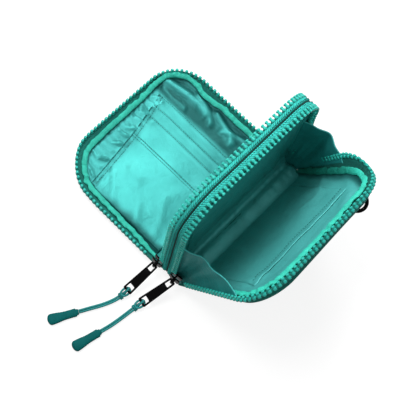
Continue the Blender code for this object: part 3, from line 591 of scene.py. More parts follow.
def grained_material(name, light, dark, patches, grain, relief, roughness, gloss=0.5, depth=0.4):
    """Moulded, cast or board material: dye tone and the relief of a fine grain. Roughness is its
    least value and what the grain adds to it, or that value alone."""
    material, tree, shader = new_material(name, Roughness=roughness[0], Specular_IOR_Level=gloss)
    place = add_node(tree, "ShaderNodeTexCoord").outputs["Object"]
    tone = dyed(tree, place, light, dark, patches, depth)
    tree.links.new(tone.outputs[0], shader.inputs["Base Color"])
    texture = add_node(tree, "ShaderNodeTexNoise", **grain)
    tree.links.new(place, texture.inputs["Vector"])
    if len(roughness) > 1:
        rough = math_node(tree, "MULTIPLY_ADD", texture.outputs["Fac"], roughness[1], roughness[0])
        tree.links.new(rough, shader.inputs["Roughness"])
    tree.links.new(embossed(tree, texture.outputs["Fac"], relief, GRAIN_RELIEF), shader.inputs["Normal"])
    return material


GRIP_RUBBER = grained_material(
    "moulded grip", (0.004, 0.110, 0.108), (0.002, 0.068, 0.068), 120.0,
    {"Detail": 2.0, "Scale": 2600.0}, 0.15, (0.4, 0.25), gloss=0.03,
)


def smooth_step(value, low, high):
    share = min(1.0, max(0.0, (value - low) / (high - low)))
    return share * share * (3 - 2 * share)


def grip_grid(route):
    """The grip's rings, from its mouth to its round end, with grooves across its first half."""
    a, b = Vector(route[-2]), Vector(route[-1])
    ahead = (b - a).normalized()
    level = level_across(ahead)
    up = Vector((0, 0, 1))
    grid = np.zeros((GRIP_STATIONS, GRIP_SIDES, 3))
    for k in range(GRIP_STATIONS):
        share = k / (GRIP_STATIONS - 1)
        along = GRIP_LENGTH * (1 - math.cos(math.pi * share)) / 2
        t = along / GRIP_LENGTH
        wide = 0.0034 + 0.0012 * smooth_step(t, 0.06, 0.09) + 0.0016 * smooth_step(t, 0.35, 0.90)
        high = 0.0020 + 0.0005 * smooth_step(t, 0.06, 0.09) + 0.0002 * smooth_step(t, 0.50, 0.90)
        cap = min(1.0, math.sqrt(max(0.0, 1 - max(0.0, (t - 0.88) / 0.12) ** 2)))
        mouth = min(1.0, 0.80 + 0.20 * math.sqrt(min(1.0, t / 0.04)))
        groove = 0.0
        if GROOVES_START < t < GROOVES_END:
            groove = GROOVE_DEPTH * max(0.0, math.cos(2 * math.pi * (t - GROOVES_START) / GROOVE_PITCH)) ** 3
        wide, high = (wide * mouth - groove) * cap, (high * mouth - groove) * cap
        for s in range(GRIP_SIDES):
            angle = 2 * math.pi * s / GRIP_SIDES
            c, d = math.cos(angle), math.sin(angle)
            across = wide * math.copysign(abs(c) ** 0.75, c)
            rise = high * math.copysign(abs(d) ** 0.75, d)
            grid[k, s] = b + ahead * (along + 0.0003) + level * across + up * rise
    return grid


for word, side, turn, route in PULLS:
    grip = piece_from_grids(word + "_moulded_grip", [rod(grip_grid(route))], GRIP_RUBBER)
    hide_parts(word + "_grip")
    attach(grip, word + "_puller")
    cord, line, wrap = PULL_CORDS[word]


# Moulded teeth
# Each zip row has chunky moulded plastic teeth: a body that grips the tape's bead, a neck and a
# rounded head. The bead is cord with the leaves' tape yarn woven round it, which is dark partly
# of its own and partly with painted shade.
TOOTH_PITCH = 0.0058
TEETH_START = 0.0145
TOOTH_SECTIONS = (
    (0.00110, 0.00090, 0.00085),
    (0.00125, 0.00140, 0.00120),
    (0.00180, 0.00178, 0.00146),
    (0.00260, 0.00176, 0.00150),
    (0.00320, 0.00118, 0.00140),
    (0.00390, 0.00112, 0.00142),
    (0.00450, 0.00168, 0.00168),
    (0.00540, 0.00186, 0.00182),
    (0.00660, 0.00186, 0.00182),
    (0.00730, 0.00166, 0.00165),
    (0.00755, 0.00120, 0.00125),
)
TOOTH_SIDES = 12
BEAD_DEPTH = 0.0065
BEAD_RADIUS = 0.00115
TEETH_PLASTIC = grained_material(
    "moulded teeth", (0.036, 0.50, 0.42), (0.012, 0.26, 0.22), 150.0,
    {"Detail": 3.0, "Scale": 900.0}, 0.12, (0.10, 0.3), gloss=0.10, depth=0.5,
)
# The leaves' tape yarn is darker than the divider's: partly its own darker colour, partly painted shade.
TAPE_YARN_WITH_PAINTED_SHADE = yarn_material(
    "leaf zip tape", (0.010, 0.17, 0.140), (0.003, 0.06, 0.050), 950.0, 1.0, 1.0, 0.85, 0.05,
    depth=0.5, gaps=0.6, bump=0.8,
)

# The rows follow one outline, to which the leaves and the divider are cut: straight sides up from
# the hinge, round corners and a straight free edge. A place on a leaf is its x, its height from the
# hinge and its depth behind the plane where the two rows of teeth meet.
HALF_LENGTH = 0.101
HINGE_HEIGHT = 0.0166
RIM_HEIGHT = 0.161
RIM_CORNER = 0.045
REAR_LEAN = math.radians(34.0)
STRAIGHT = RIM_HEIGHT - RIM_CORNER
ARC = math.pi / 2 * RIM_CORNER
TOP = 2 * (HALF_LENGTH - RIM_CORNER)
RIM_LENGTH = 2 * (STRAIGHT + ARC) + TOP
RIM_END = 0.0016
FRONT_SKEW = 0.032
FRONT_STRETCH = 0.017
FRONT_SLACK = 0.0060
SOFT_SIDE_START = 0.1497
SOFT_SIDE_WIDTH = 0.0747
REAR_BOW = 0.0045


def rim_at(distance):
    """x, height and inward direction at a distance round the rim from its +X foot."""
    if distance > RIM_LENGTH / 2:
        x, h, inward_x, inward_h = rim_at(RIM_LENGTH - distance)
        return -x, h, -inward_x, inward_h
    if distance <= STRAIGHT:
        return HALF_LENGTH, distance, -1.0, 0.0
    if distance <= STRAIGHT + ARC:
        turn = (distance - STRAIGHT) / RIM_CORNER
        return (
            HALF_LENGTH - RIM_CORNER * (1 - math.cos(turn)),
            STRAIGHT + RIM_CORNER * math.sin(turn),
            -math.cos(turn),
            -math.sin(turn),
        )
    return HALF_LENGTH - RIM_CORNER - (distance - STRAIGHT - ARC), RIM_HEIGHT, 0.0, -1.0


def on_rim(distance, inset):
    x, h, inward_x, inward_h = rim_at(distance)
    return x + inward_x * inset, h + inward_h * inset


def front_point(x, h, depth):
    """The front leaf lies a little askew and pulled out at its free edge, with its +X corner slack."""
    pulled = 1 + FRONT_STRETCH * smooth_step(h, 0.060, 0.161)
    slack = FRONT_SLACK * smooth_step(x, 0.040, 0.098) * smooth_step(h, 0.090, 0.158)
    return Vector(
        (x - FRONT_SKEW * h - 0.7 * slack, -HALF_BAND - h * pulled + 0.7 * slack, HINGE_HEIGHT - depth)
    )


def leaning_point(x, h, depth, lean):
    """A place on a leaf that leans back from upright."""
    return Vector(
        (
            x,
            HALF_BAND + depth * math.cos(lean) + h * math.sin(lean),
            HINGE_HEIGHT - depth * math.sin(lean) + h * math.cos(lean),
        )
    )


def rear_point(x, h, depth):
    """The rear leaf's -X side is soft and is drawn up towards the divider by its gusset."""
    reach = min(1.0, max(0.0, (SOFT_SIDE_START + x) / SOFT_SIDE_WIDTH))
    give = (1 - reach * reach * (3 - 2 * reach)) * REAR_LEAN
    give *= 1 - 0.9 * smooth_step(h, 0.100, 0.152)
    return leaning_point(x, h, depth, REAR_LEAN - give)


def divider_point(x, h, y):
    return Vector((x, y, HINGE_HEIGHT + h))


def front_spot(distance, inset, depth):
    return front_point(*on_rim(distance, inset), depth)


def rear_spot(distance, inset, depth):
    return rear_point(*on_rim(distance, inset), depth)


def divider_front_spot(distance, inset, depth):
    return divider_point(*on_rim(distance, inset), depth - HALF_BAND)


def divider_rear_spot(distance, inset, depth):
    """The rear row bows outwards a little on the divider's -X side."""
    bow = REAR_BOW * smooth_step(distance, 0.372, 0.40) * (1 - smooth_step(distance, 0.43, 0.475))
    return divider_point(*on_rim(distance, inset - bow * (1 - depth / HALF_BAND)), HALF_BAND - depth)


def carry(piece, body):
    """Pieces ride on their body, except the rear leaf's, which are baked in place."""
    if body == "rear_leaf":
        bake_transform(piece)
    else:
        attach(piece, body)


def fitted(piece, node, body):
    """The piece stands in a node's place, and carry() gives it its body."""
    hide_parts(node)
    carry(piece, body)


def tooth_grid(spot, distance):
    origin = spot(distance, 0.0, 0.0)
    deeper = (spot(distance, 0.0, 0.01) - origin).normalized()
    ahead = (spot(distance + 0.001, 0.0, 0.003) - spot(distance - 0.001, 0.0, 0.003)).normalized()
    out = ahead.cross(deeper)
    grid = np.zeros((len(TOOTH_SECTIONS), TOOTH_SIDES, 3))
    for k, (depth, half_width, half_height) in enumerate(TOOTH_SECTIONS):
        for s in range(TOOTH_SIDES):
            angle = 2 * math.pi * (s + 0.5) / TOOTH_SIDES
            c, d = math.cos(angle), math.sin(angle)
            wide = half_width * math.copysign(abs(c) ** 0.55, c)
            high = half_height * math.copysign(abs(d) ** 0.55, d)
            grid[k, s] = origin + deeper * depth + ahead * wide + out * high
    return grid


TEETH_ROWS = (
    ("front_leaf_teeth", front_spot, "front_leaf"),
    ("rear_leaf_teeth", rear_spot, "rear_leaf"),
    ("divider_front_teeth", divider_front_spot, "divider"),
    ("divider_rear_teeth", divider_rear_spot, "divider"),
)
tooth_count = int((RIM_LENGTH - 2 * TEETH_START) / TOOTH_PITCH)
first_tooth = (RIM_LENGTH - (tooth_count - 1) * TOOTH_PITCH) / 2
stations = np.linspace(RIM_END, RIM_LENGTH - RIM_END, 240)
for node, spot, body in TEETH_ROWS:
    grids = [rod(tooth_grid(spot, first_tooth + k * TOOTH_PITCH)) for k in range(tooth_count)]
    teeth = piece_from_grids(node.replace("teeth", "moulded_teeth"), grids, TEETH_PLASTIC)
    fitted(teeth, node, body)
    core = rod(swept([spot(s, 0.0, BEAD_DEPTH) for s in stations], BEAD_RADIUS, 10))
    bead = piece_from_grids(node.replace("teeth", "zip_bead"), [core], TAPE_YARN_WITH_PAINTED_SHADE)
    carry(bead, body)


# Bindings
# Inside each leaf the edges of the tape and the lining are sewn together and wrapped in bias-cut
# binding. It is gathered, so it runs in waves and lumps.
FRONT_BINDING = (
    (0.000, 0.0062, 0.0100), (0.016, 0.0068, 0.0104), (0.030, 0.0085, 0.0105), (0.060, 0.0098, 0.0104),
    (0.100, 0.0104, 0.0104), (0.150, 0.0112, 0.0104), (0.186, 0.0105, 0.0103), (0.230, 0.0092, 0.0102),
    (0.275, 0.0085, 0.0100), (0.300, 0.0062, 0.0096), (0.325, 0.0036, 0.0090), (0.345, 0.0052, 0.0092),
    (0.362, 0.0085, 0.0098), (0.378, 0.0122, 0.0100), (0.392, 0.0112, 0.0100), (0.408, 0.0080, 0.0098),
    (0.425, 0.0092, 0.0100), (0.440, 0.0082, 0.0102), (0.455, 0.0078, 0.0104), (0.470, 0.0068, 0.0104),
    (0.4854, 0.0062, 0.0100),
)
REAR_BINDING = (
    (0.000, 0.0062, 0.0100), (0.016, 0.0068, 0.0104), (0.032, 0.0085, 0.0106), (0.080, 0.0100, 0.0100),
    (0.116, 0.0108, 0.0086), (0.150, 0.0118, 0.0056), (0.186, 0.0120, 0.0050), (0.240, 0.0118, 0.0058),
    (0.300, 0.0132, 0.0036), (0.345, 0.0124, 0.0056), (0.380, 0.0098, 0.0100), (0.420, 0.0095, 0.0106),
    (0.452, 0.0085, 0.0105), (0.470, 0.0068, 0.0104), (0.4854, 0.0062, 0.0100),
)
BINDING_CLOTH = yarn_material(
    "bias binding", (0.055, 0.80, 0.61), (0.018, 0.40, 0.30), 1500.0, 0.0, 0.0, 0.58, 0.12,
    depth=0.55, gaps=0.35, bump=0.5, patches=110.0, crinkle=0.5, crinkle_per_metre=260.0,
)


def run_of(table, distance):
    """Inset and depth of a binding at a distance round the rim, smoothed between the given places."""
    for (s0, i0, d0), (s1, i1, d1) in zip(table, table[1:]):
        if distance <= s1:
            share = smooth_step(distance, s0, s1)
            return i0 + (i1 - i0) * share, d0 + (d1 - d0) * share
    return table[-1][1], table[-1][2]


def wander(a, b, c=0.0):
    """Smooth unevenness between about -1 and 1, which drifts from place to place."""
    return noise.noise(Vector((a, b, c)))


def uneven(distance, seed, pitch):
    return wander(distance / pitch, seed)


def paint_shade(piece, shades):
    """Gives each point of a piece its painted shade, from 0 to 1."""
    piece.data.attributes.new("seam shade", "FLOAT", "POINT").data.foreach_set("value", shades)


BINDING_HALF_WIDTH = 0.0033
BINDING_HALF_THICKNESS = 0.0015
BINDING_END = 0.0042
BINDING_SINK = 0.0016
BINDING_LIFT = 0.0010
BINDING_STATIONS, BINDING_SIDES = 420, 18
TAPE_EDGE_DEPTH = 0.0070


def binding_grid(table, spot, seed):
    """A flat roll of cloth that lies on the tape along its inner edge, and tilts and swells unevenly."""
    grid = np.zeros((BINDING_STATIONS, BINDING_SIDES, 3))
    for k, s in enumerate(np.linspace(BINDING_END, RIM_LENGTH - BINDING_END, BINDING_STATIONS)):
        inset, depth = run_of(table, s)
        ends = smooth_step(min(s, RIM_LENGTH - s), 0.004, 0.030)
        inset += 0.0010 + ends * 0.0008 * (uneven(s, seed, 0.011) + 0.4)
        depth += BINDING_SINK
        below = depth - TAPE_EDGE_DEPTH
        middle = spot(s, inset, depth)
        inward = (spot(s, inset + 0.001, depth) - middle).normalized()
        upward = (spot(s, inset, depth - 0.001) - middle).normalized()
        tilt = math.atan2(below, inset) - 0.06 + 0.22 * ends * uneven(s, seed + 3, 0.013)
        level = inward * math.cos(tilt) - upward * math.sin(tilt)
        proud = inward * math.sin(tilt) + upward * math.cos(tilt)
        wide = BINDING_HALF_WIDTH * (0.62 + 0.38 * ends) * (1 + 0.30 * ends * uneven(s, seed + 2, 0.007))
        wide = min(wide, 0.58 * math.hypot(inset, below))
        thick = BINDING_HALF_THICKNESS * (1 + 0.45 * ends * uneven(s, seed + 4, 0.0055))
        middle += proud * (thick + BINDING_LIFT) - level * (0.95 * wide)
        for j in range(BINDING_SIDES):
            angle = 2 * math.pi * j / BINDING_SIDES
            pinch = 1 + 0.12 * ends * uneven(s * 3, seed + 5 + j * 0.35, 0.012)
            grid[k, j] = middle + level * (wide * math.cos(angle)) + proud * (thick * pinch * math.sin(angle))
    return grid


BINDINGS = {"front": (FRONT_BINDING, front_spot, 3.0), "rear": (REAR_BINDING, rear_spot, 9.0)}
for word, (table, spot, seed) in BINDINGS.items():
    grid = binding_grid(table, spot, seed)
    binding = piece_from_grids(word + "_gathered_binding", [rod(grid)], BINDING_CLOTH)
    # Painted shade: all along the front binding, and on the rear one a little all along and much more on its
    # -X side.
    shades = [
        0.22 + 0.63 * smooth_step(k / BINDING_STATIONS * RIM_LENGTH, 0.366, 0.400) if word == "rear" else 0.42
        for k in range(BINDING_STATIONS)
        for side in range(BINDING_SIDES)
    ]
    paint_shade(binding, shades)
    fitted(binding, word + "_binding", word + "_leaf")


# Zip tapes
# The woven tape of each row. On the leaves it slopes in from the bead to the binding, and on the
# divider the two tapes lie side by side as a band over the divider's edge.
TAPE_THICKNESS = 0.0007
TAPE_STEPS = 8
TAPE_YARN = yarn_material(
    "zip tape", (0.050, 0.63, 0.55), (0.009, 0.17, 0.150), 720.0, 1.0, 1.0, 0.8, 0.10,
    depth=0.40, gaps=0.85, bump=1.0, gloss=0.12,
)


def thickened(piece, thickness):
    """Gives a sheet its thickness, half to each side, and makes its mesh final."""
    solid = piece.modifiers.new("thickness", "SOLIDIFY")
    solid.thickness = thickness
    solid.offset = 0.0
    bpy.context.view_layer.update()
    graph = bpy.context.evaluated_depsgraph_get()
    mesh = bpy.data.meshes.new_from_object(
        piece.evaluated_get(graph), preserve_all_data_layers=True, depsgraph=graph
    )
    piece.modifiers.clear()
    piece.data = mesh
    return piece


def leaf_tape_point(s, t, table, spot, seed):
    """A place on a leaf's tape, at a distance round the rim and a share of the way to the binding."""
    inset, depth = run_of(table, s)
    t *= smooth_step(min(s, RIM_LENGTH - s), -0.0010, 0.0080)
    ripple = 0.0004 * math.sin(math.pi * t) * uneven(s, seed + 5, 0.012)
    below = TAPE_EDGE_DEPTH + (depth + BINDING_SINK - TAPE_EDGE_DEPTH) * t + ripple
    return spot(s, (inset + 0.0010) * t ** 0.9, below)


def divider_tape_point(s, t, spot, seed):
    """A place on a divider's tape, at a distance round the rim and a share of the way to the seam."""
    crown = 0.0009 * math.sin(math.pi * min(1.0, t * 1.02))
    crown += 0.0003 * math.sin(math.pi * t) * uneven(s, seed, 0.016)
    dip = 0.0006 * smooth_step(t, 0.82, 1.0)
    return spot(s, dip - crown, TAPE_EDGE_DEPTH + (HALF_BAND - 0.0010 - TAPE_EDGE_DEPTH) * t)


for name, node, body, yarn, point_at, shape in (
    ("front_woven_tape", "front_zip_tape", "front_leaf", TAPE_YARN_WITH_PAINTED_SHADE, leaf_tape_point, BINDINGS["front"]),
    ("rear_woven_tape", "rear_zip_tape", "rear_leaf", TAPE_YARN_WITH_PAINTED_SHADE, leaf_tape_point, BINDINGS["rear"]),
    ("divider_front_woven_tape", "divider_front_tape", "divider", TAPE_YARN, divider_tape_point,
     (divider_front_spot, 21.0)),
    ("divider_rear_woven_tape", "divider_rear_tape", "divider", TAPE_YARN, divider_tape_point,
     (divider_rear_spot, 27.0)),
):
    rows = [
        [tuple(point_at(s, k / TAPE_STEPS, *shape)) for k in range(TAPE_STEPS + 1)]
        for s in np.linspace(RIM_END, RIM_LENGTH - RIM_END, 260)
    ]
    tape = thickened(piece_from_grids(name, [panel(rows)], yarn), TAPE_THICKNESS)
    fitted(tape, node, body)


# Seam between the divider's tapes
# A narrow, dark corded seam is sewn between the two tapes all round the divider. It is thin cord in
# a strip of dull cloth.
SEAM_INSET = 0.0005
SEAM_RADIUS = 0.0009
SEAM_CLOTH = yarn_material(
    "seam piping", (0.003, 0.045, 0.038), (0.001, 0.015, 0.013), 1400.0, 1.0, 0.0, 0.9, 0.0,
    gaps=0.5, bump=0.6,
)
line = [divider_point(*on_rim(s, SEAM_INSET), 0.0) for s in stations]
seam = piece_from_grids("divider_corded_seam", [rod(swept(line, SEAM_RADIUS, 8))], SEAM_CLOTH)
fitted(seam, "divider_seam_piping", "divider")


# Shells
# Each leaf's outside is one piece of hard-wearing cloth, formed as a shallow tray. Its soft edge
# swells out past its seam with the tape.
LEAF_DEPTH = 0.0166
SHELL_FLOOR = LEAF_DEPTH - 0.0005
SHELL_THICKNESS = 0.0007
SHELL_CLOTH = yarn_material(
    "shell cloth", (0.012, 0.20, 0.165), (0.005, 0.10, 0.085), 1700.0, 1.0, 0.0, 0.78, 0.1,
    depth=0.5, gaps=0.5, bump=0.6, crinkle=0.25, crinkle_per_metre=120.0,
)
DISH_MIDDLE = (0.0, 0.078)
DISH_STEPS = [0, 0.006, 0.013, 0.021, 0.030, 0.041, 0.053, 0.068, 0.085, 0.105, 0.13] + [
    0.16 + 0.03 * k for k in range(28)
]


def leaf_edge(inset_at, foot, foot_reach):
    """Closed loop of (x, height, distance round the rim or None at the hinge) for a lining or shell."""
    loop = []
    for s in np.linspace(foot, RIM_LENGTH - foot, 200):
        x, h = on_rim(s, inset_at(s))
        loop.append((x, h, s))
    for x in np.linspace(-foot_reach, foot_reach, 60):
        loop.append((x, foot, None))
    return loop


def close_last_ring(piece, count, place=None):
    """Closes a tray with one face over its last ring, which may get one place on the flat cloth."""
    shaped = bmesh.new()
    shaped.from_mesh(piece.data)
    shaped.verts.ensure_lookup_table()
    total = len(shaped.verts)
    cap = shaped.faces.new([shaped.verts[k] for k in range(total - count, total)])
    cap.smooth = True
    bmesh.ops.recalc_face_normals(shaped, faces=shaped.faces)
    if place:
        layer = shaped.loops.layers.uv["cloth"]
        for corner in cap.loops:
            corner[layer].uv = place
    shaped.to_mesh(piece.data)
    shaped.free()


def dish(name, loop, depth_at, place, material, thickness, shade_at=None, bulge_at=None):
    """A sheet over the whole leaf: rings from the loop to the middle, at the depth that
    depth_at(x, height, distance in from the edge, distance round the rim) gives, with the painted
    shade that shade_at gives and bulging outwards by bulge_at(x, height, distance in)."""
    middle_x, middle_h = DISH_MIDDLE
    size = (len(DISH_STEPS), len(loop))
    grid, cloth, shades = np.zeros((*size, 3)), np.zeros((*size, 2)), np.zeros(size, np.float32)
    for r, share in enumerate(DISH_STEPS):
        for c, (x, h, s) in enumerate(loop):
            reach = math.hypot(middle_x - x, middle_h - h)
            inward = share * reach
            moved = share
            if bulge_at and s is not None:
                moved -= bulge_at(x, h, inward) / reach
            px, ph = x + (middle_x - x) * moved, h + (middle_h - h) * moved
            grid[r, c] = place(px, ph, depth_at(px, ph, inward, s))
            cloth[r, c] = px, ph
            if shade_at:
                shades[r, c] = shade_at(px, ph, inward)
    piece = piece_from_grids(name, [(grid, False, True, False, cloth)], material)
    paint_shade(piece, shades.ravel())
    close_last_ring(piece, len(loop), DISH_MIDDLE)
    return thickened(piece, thickness)


def shell_inset(distance):
    return 0.0030 + 0.0020 * smooth_step(min(distance, RIM_LENGTH - distance), 0.012, 0.046)


def shell_bulge(x, h, inward):
    most = (0.0008 + 0.0032 * smooth_step(x, -0.070, 0.060)) * smooth_step(h, 0.004, 0.034)
    return most * math.sin(math.pi * min(1.0, inward / 0.0085))


def shell_depth(seed, belly):
    """Depth of a shell: a rounded rim, and a floor that may belly out in soft lumps."""
    def depth_at(x, h, inward, s):
        start, bend = (0.0016, 0.0055) if s is None else (0.0094, 0.0085)
        rise = min(1.0, inward / bend)
        depth = start + (SHELL_FLOOR - start) * math.sin(math.pi / 2 * rise) ** 0.9
        if belly and rise >= 1.0:
            depth += belly * smooth_step(inward, 0.006, 0.03) * wander(x / 0.045, h / 0.045, seed)
        return depth
    return depth_at


for word, place, belly, seed in (("front", front_point, 0.0, 1.0), ("rear", rear_point, 0.0012, 2.0)):
    edge = leaf_edge(shell_inset, 0.0016, 0.084)
    shell = dish(
        word + "_cloth_shell", edge, shell_depth(seed, belly), place, SHELL_CLOTH, SHELL_THICKNESS,
        bulge_at=shell_bulge,
    )
    fitted(shell, word + "_shell", word + "_leaf")


# Foam sheets
# A thin sheet of foam with softened edges lies between each shell and its lining, and gives the
# leaf its body.
FOAM_DEPTH = 0.0147
FOAM_THICKNESS = 0.0009
FOAM, tree, shader = new_material("foam", Roughness=0.95)
place = add_node(tree, "ShaderNodeTexCoord").outputs["Object"]
cells = add_node(tree, "ShaderNodeTexVoronoi", Scale=1400.0)
tree.links.new(place, cells.inputs["Vector"])
tone = dyed(tree, place, (0.72, 0.71, 0.66), (0.50, 0.49, 0.44))
tree.links.new(cells.outputs["Distance"], tone.inputs["Mask"])
tree.links.new(tone.outputs[0], shader.inputs["Base Color"])
tree.links.new(embossed(tree, cells.outputs["Distance"], 0.5, 0.0003), shader.inputs["Normal"])


def foam_depth(x, h, inward, s):
    return FOAM_DEPTH - 0.0002 * (1 - min(1.0, inward / 0.003))


for word, place in (("front", front_point), ("rear", rear_point)):
    edge = leaf_edge(lambda s: shell_inset(s) + 0.0080, 0.0045, 0.082)
    foam = dish(word + "_foam_sheet", edge, foam_depth, place, FOAM, FOAM_THICKNESS)
    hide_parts(word + "_foam")
    carry(foam, word + "_leaf")


# Linings
# Bright satin lines each leaf: it drops from the binding to the floor and lies loose there, with
# folds where it is fuller than the shell.
SATIN_THICKNESS = 0.0004
LINING_FLOOR = 0.0136
SATIN = yarn_material(
    "satin lining", (0.055, 0.39, 0.370), (0.022, 0.21, 0.20), 2600.0, 0.0, 0.0, 0.36, 0.05,
    depth=0.45, gaps=0.12, bump=0.12, patches=28.0, crinkle=0.32, crinkle_per_metre=110.0,
    silk=0.32, gloss=0.08,
)
# The main compartment's satin is the lining's cloth, painted lighter and greyer as a painted sheen.
SATIN_WITH_PAINTED_SHEEN = yarn_material(
    "main compartment satin", (0.085, 0.46, 0.445), (0.038, 0.28, 0.27), 2600.0, 0.0, 0.0, 0.42, 0.25,
    depth=0.4, gaps=0.12, bump=0.15, patches=24.0, crinkle=0.35, crinkle_per_metre=120.0, silk=0.20,
)


def fold_field(folds, x, h):
    """Height of soft folds at a place on the floor. Each fold is (height, width, its line)."""
    total = 0.0
    for height, width, line in folds:
        near = 1.0
        for (x0, h0), (x1, h1) in zip(line, line[1:]):
            dx, dh = x1 - x0, h1 - h0
            t = min(1.0, max(0.0, ((x - x0) * dx + (h - h0) * dh) / (dx * dx + dh * dh)))
            near = min(near, math.hypot(x - x0 - t * dx, h - h0 - t * dh))
        total += height * math.exp(-((near / width) ** 2))
    return total


FRONT_FOLDS = (
    (0.0042, 0.0046, ((-0.072, 0.150), (-0.074, 0.138), (-0.077, 0.122), (-0.078, 0.106), (-0.074, 0.090))),
    (0.0026, 0.0034, ((-0.086, 0.112), (-0.083, 0.098), (-0.079, 0.088), (-0.070, 0.078))),
    (0.0030, 0.0040, ((-0.084, 0.080), (-0.080, 0.066), (-0.077, 0.052), (-0.070, 0.044))),
    (0.0026, 0.0034, ((-0.072, 0.062), (-0.080, 0.044), (-0.083, 0.030), (-0.078, 0.016))),
    (0.0020, 0.0030, ((-0.062, 0.146), (-0.060, 0.130), (-0.061, 0.112))),
) + tuple(
    (
        0.0013 + 0.0011 * (k * 7 % 5) / 4,
        0.0017 + 0.0006 * (k * 3 % 4) / 3,
        (
            (x, 0.1545 - 0.12 * max(0.0, x)),
            (x + 0.002, 0.142 - 0.10 * x),
            (x + 0.005 * (k % 3 - 1), 0.134 - 0.10 * x),
        ),
    )
    for k, x in enumerate(np.linspace(-0.046, 0.074, 15))
)
REAR_FOLDS = (
    (0.0022, 0.0070, ((-0.060, 0.142), (-0.020, 0.134), (0.020, 0.138), (0.055, 0.136))),
    (0.0018, 0.0060, ((-0.090, 0.100), (-0.070, 0.120), (-0.050, 0.128))),
    (0.0016, 0.0050, ((0.060, 0.110), (0.078, 0.092), (0.084, 0.066))),
    (0.0014, 0.0060, ((-0.085, 0.060), (-0.060, 0.075), (-0.040, 0.070))),
)


def lining_floor(folds, seed):
    """Depth of a lining's floor, which its folds and loose places lift."""
    def floor(x, h):
        calm = smooth_step(h, 0.004, 0.020)
        gather = 0.0007 * max(0.0, wander(x / 0.010, h / 0.022, seed))
        wide = 0.0012 * max(0.0, wander(x / 0.030, h / 0.030, seed + 4) + 0.25)
        return LINING_FLOOR - calm * (fold_field(folds, x, h) + gather + wide)
    return floor


def pocket_top(x):
    """Height of the seam that holds the ends of the card pockets."""
    return 0.150 - 0.25 * (x + 0.070) + 0.894 * (x + 0.070) * (x - 0.006)


def front_shade(x, h, inward):
    """Painted shade on the front lining: beside the binding, over its slack -X side but less on the fold
    crests there, and in the valleys between folds above the pockets' end seam.
    """
    reach = 0.0075 * (1 + 0.5 * wander(x / 0.018, h / 0.018, 71.0))
    beside = 0.9 * (1 - smooth_step(inward, 0.25 * reach, reach))
    slack = (1 - smooth_step(x, -0.060, -0.048)) * smooth_step(h, 0.0, 0.020)
    slack *= 1.08 + 0.5 * wander(x / 0.016, h / 0.030, 72.0)
    crest = min(1.0, fold_field(FRONT_FOLDS, x, h) / 0.0034)
    valley = 0.42 * (1 - crest) * smooth_step(h - pocket_top(x), -0.004, 0.004)
    return min(1.0, max(beside, slack * (1 - 0.62 * crest), valley))


def rear_shade(x, h, inward):
    """Painted shade on the rear lining, beside the binding."""
    reach = 0.0090 * (1 + 0.4 * wander(x / 0.020, h / 0.020, 73.0))
    return 0.75 * (1 - smooth_step(inward, 0.2 * reach, reach))


front_floor = lining_floor(FRONT_FOLDS, 11.0)
rear_floor = lining_floor(REAR_FOLDS, 17.0)
for word, place, floor, shade, satin, (table, spot, seed) in (
    ("front", front_point, front_floor, front_shade, SATIN, BINDINGS["front"]),
    ("rear", rear_point, rear_floor, rear_shade, SATIN_WITH_PAINTED_SHEEN, BINDINGS["rear"]),
):

    def lining_depth(x, h, inward, s, floor=floor, table=table):
        start = 0.0078 if s is None else run_of(table, s)[1] + 0.0009
        rise = min(1.0, inward / 0.0062)
        return start + (floor(x, h) - start) * math.sin(math.pi / 2 * rise) ** 0.9

    edge = leaf_edge(lambda s, table=table: run_of(table, s)[0] + 0.0002, 0.0050, 0.080)
    lining = dish(word + "_satin_lining", edge, lining_depth, place, satin, SATIN_THICKNESS, shade_at=shade)
    fitted(lining, word + "_lining", word + "_leaf")


# Card pockets
# Four satin pockets are sewn one over the other on the front lining. Each has a folded, stitched
# hem, the uppermost with two rows. Their ends are caught in one seam along the free edge, and in
# the binding.
POCKET_EDGES = (-0.053, -0.039, -0.025, 0.005)
POCKET_END = 0.0894
POCKET_FOOT = 0.010
POCKET_ROWS = 55
HEM_WIDTH = 0.0048
HEM_LIFT = 0.0003
POCKET_FOLDS = (
    (0.0011, 0.0042, ((0.084, 0.118), (0.056, 0.124), (0.030, 0.126), (0.012, 0.130))),
    (0.0010, 0.0040, ((0.086, 0.088), (0.070, 0.100), (0.058, 0.112))),
    (0.0009, 0.0050, ((0.084, 0.052), (0.064, 0.066), (0.048, 0.084), (0.040, 0.100))),
    (0.0007, 0.0045, ((0.080, 0.026), (0.060, 0.034), (0.036, 0.050))),
)


def pocket_depth(k, x, h):
    """Depth of a pocket: fuller in its middle, puckered at the end seam and drawn up to the binding."""
    edge = POCKET_EDGES[k]
    top = pocket_top(x)
    sewn = min(
        smooth_step(h, POCKET_FOOT, POCKET_FOOT + 0.010),
        1 - smooth_step(h, top - 0.018, top),
        1 - smooth_step(x, POCKET_END - 0.014, POCKET_END),
    )
    lift = 0.0004 + 0.00048 * (k + 1)
    gape = 0.0006 * sewn * (1 - smooth_step(x, edge, edge + 0.012)) * (
        1 + 0.6 * wander(h / 0.03, k * 3.7)
    )
    full = 0.0014 * sewn * max(0.0, 0.35 + wander(x / 0.034, h / 0.040, 31.0))
    full += fold_field(POCKET_FOLDS, x, h) * smooth_step(x, 0.004, 0.016)
    pucker = 1 - smooth_step(top - h, 0.004, 0.020)
    ripple = (0.0004 + 0.0009 * pucker) * wander(x / (0.012 - 0.007 * pucker), h / 0.018, 41.0)
    held = 0.30 + 0.70 * (1 - smooth_step(h, top - 0.030, top))
    floor = 0.0133 - lift * held - gape - full - ripple
    climb = math.sin(math.pi / 2 * min(1.0, max(0.0, (POCKET_END + 0.0012 - x) / 0.0075)))
    return 0.0108 + (floor - 0.0108) * climb


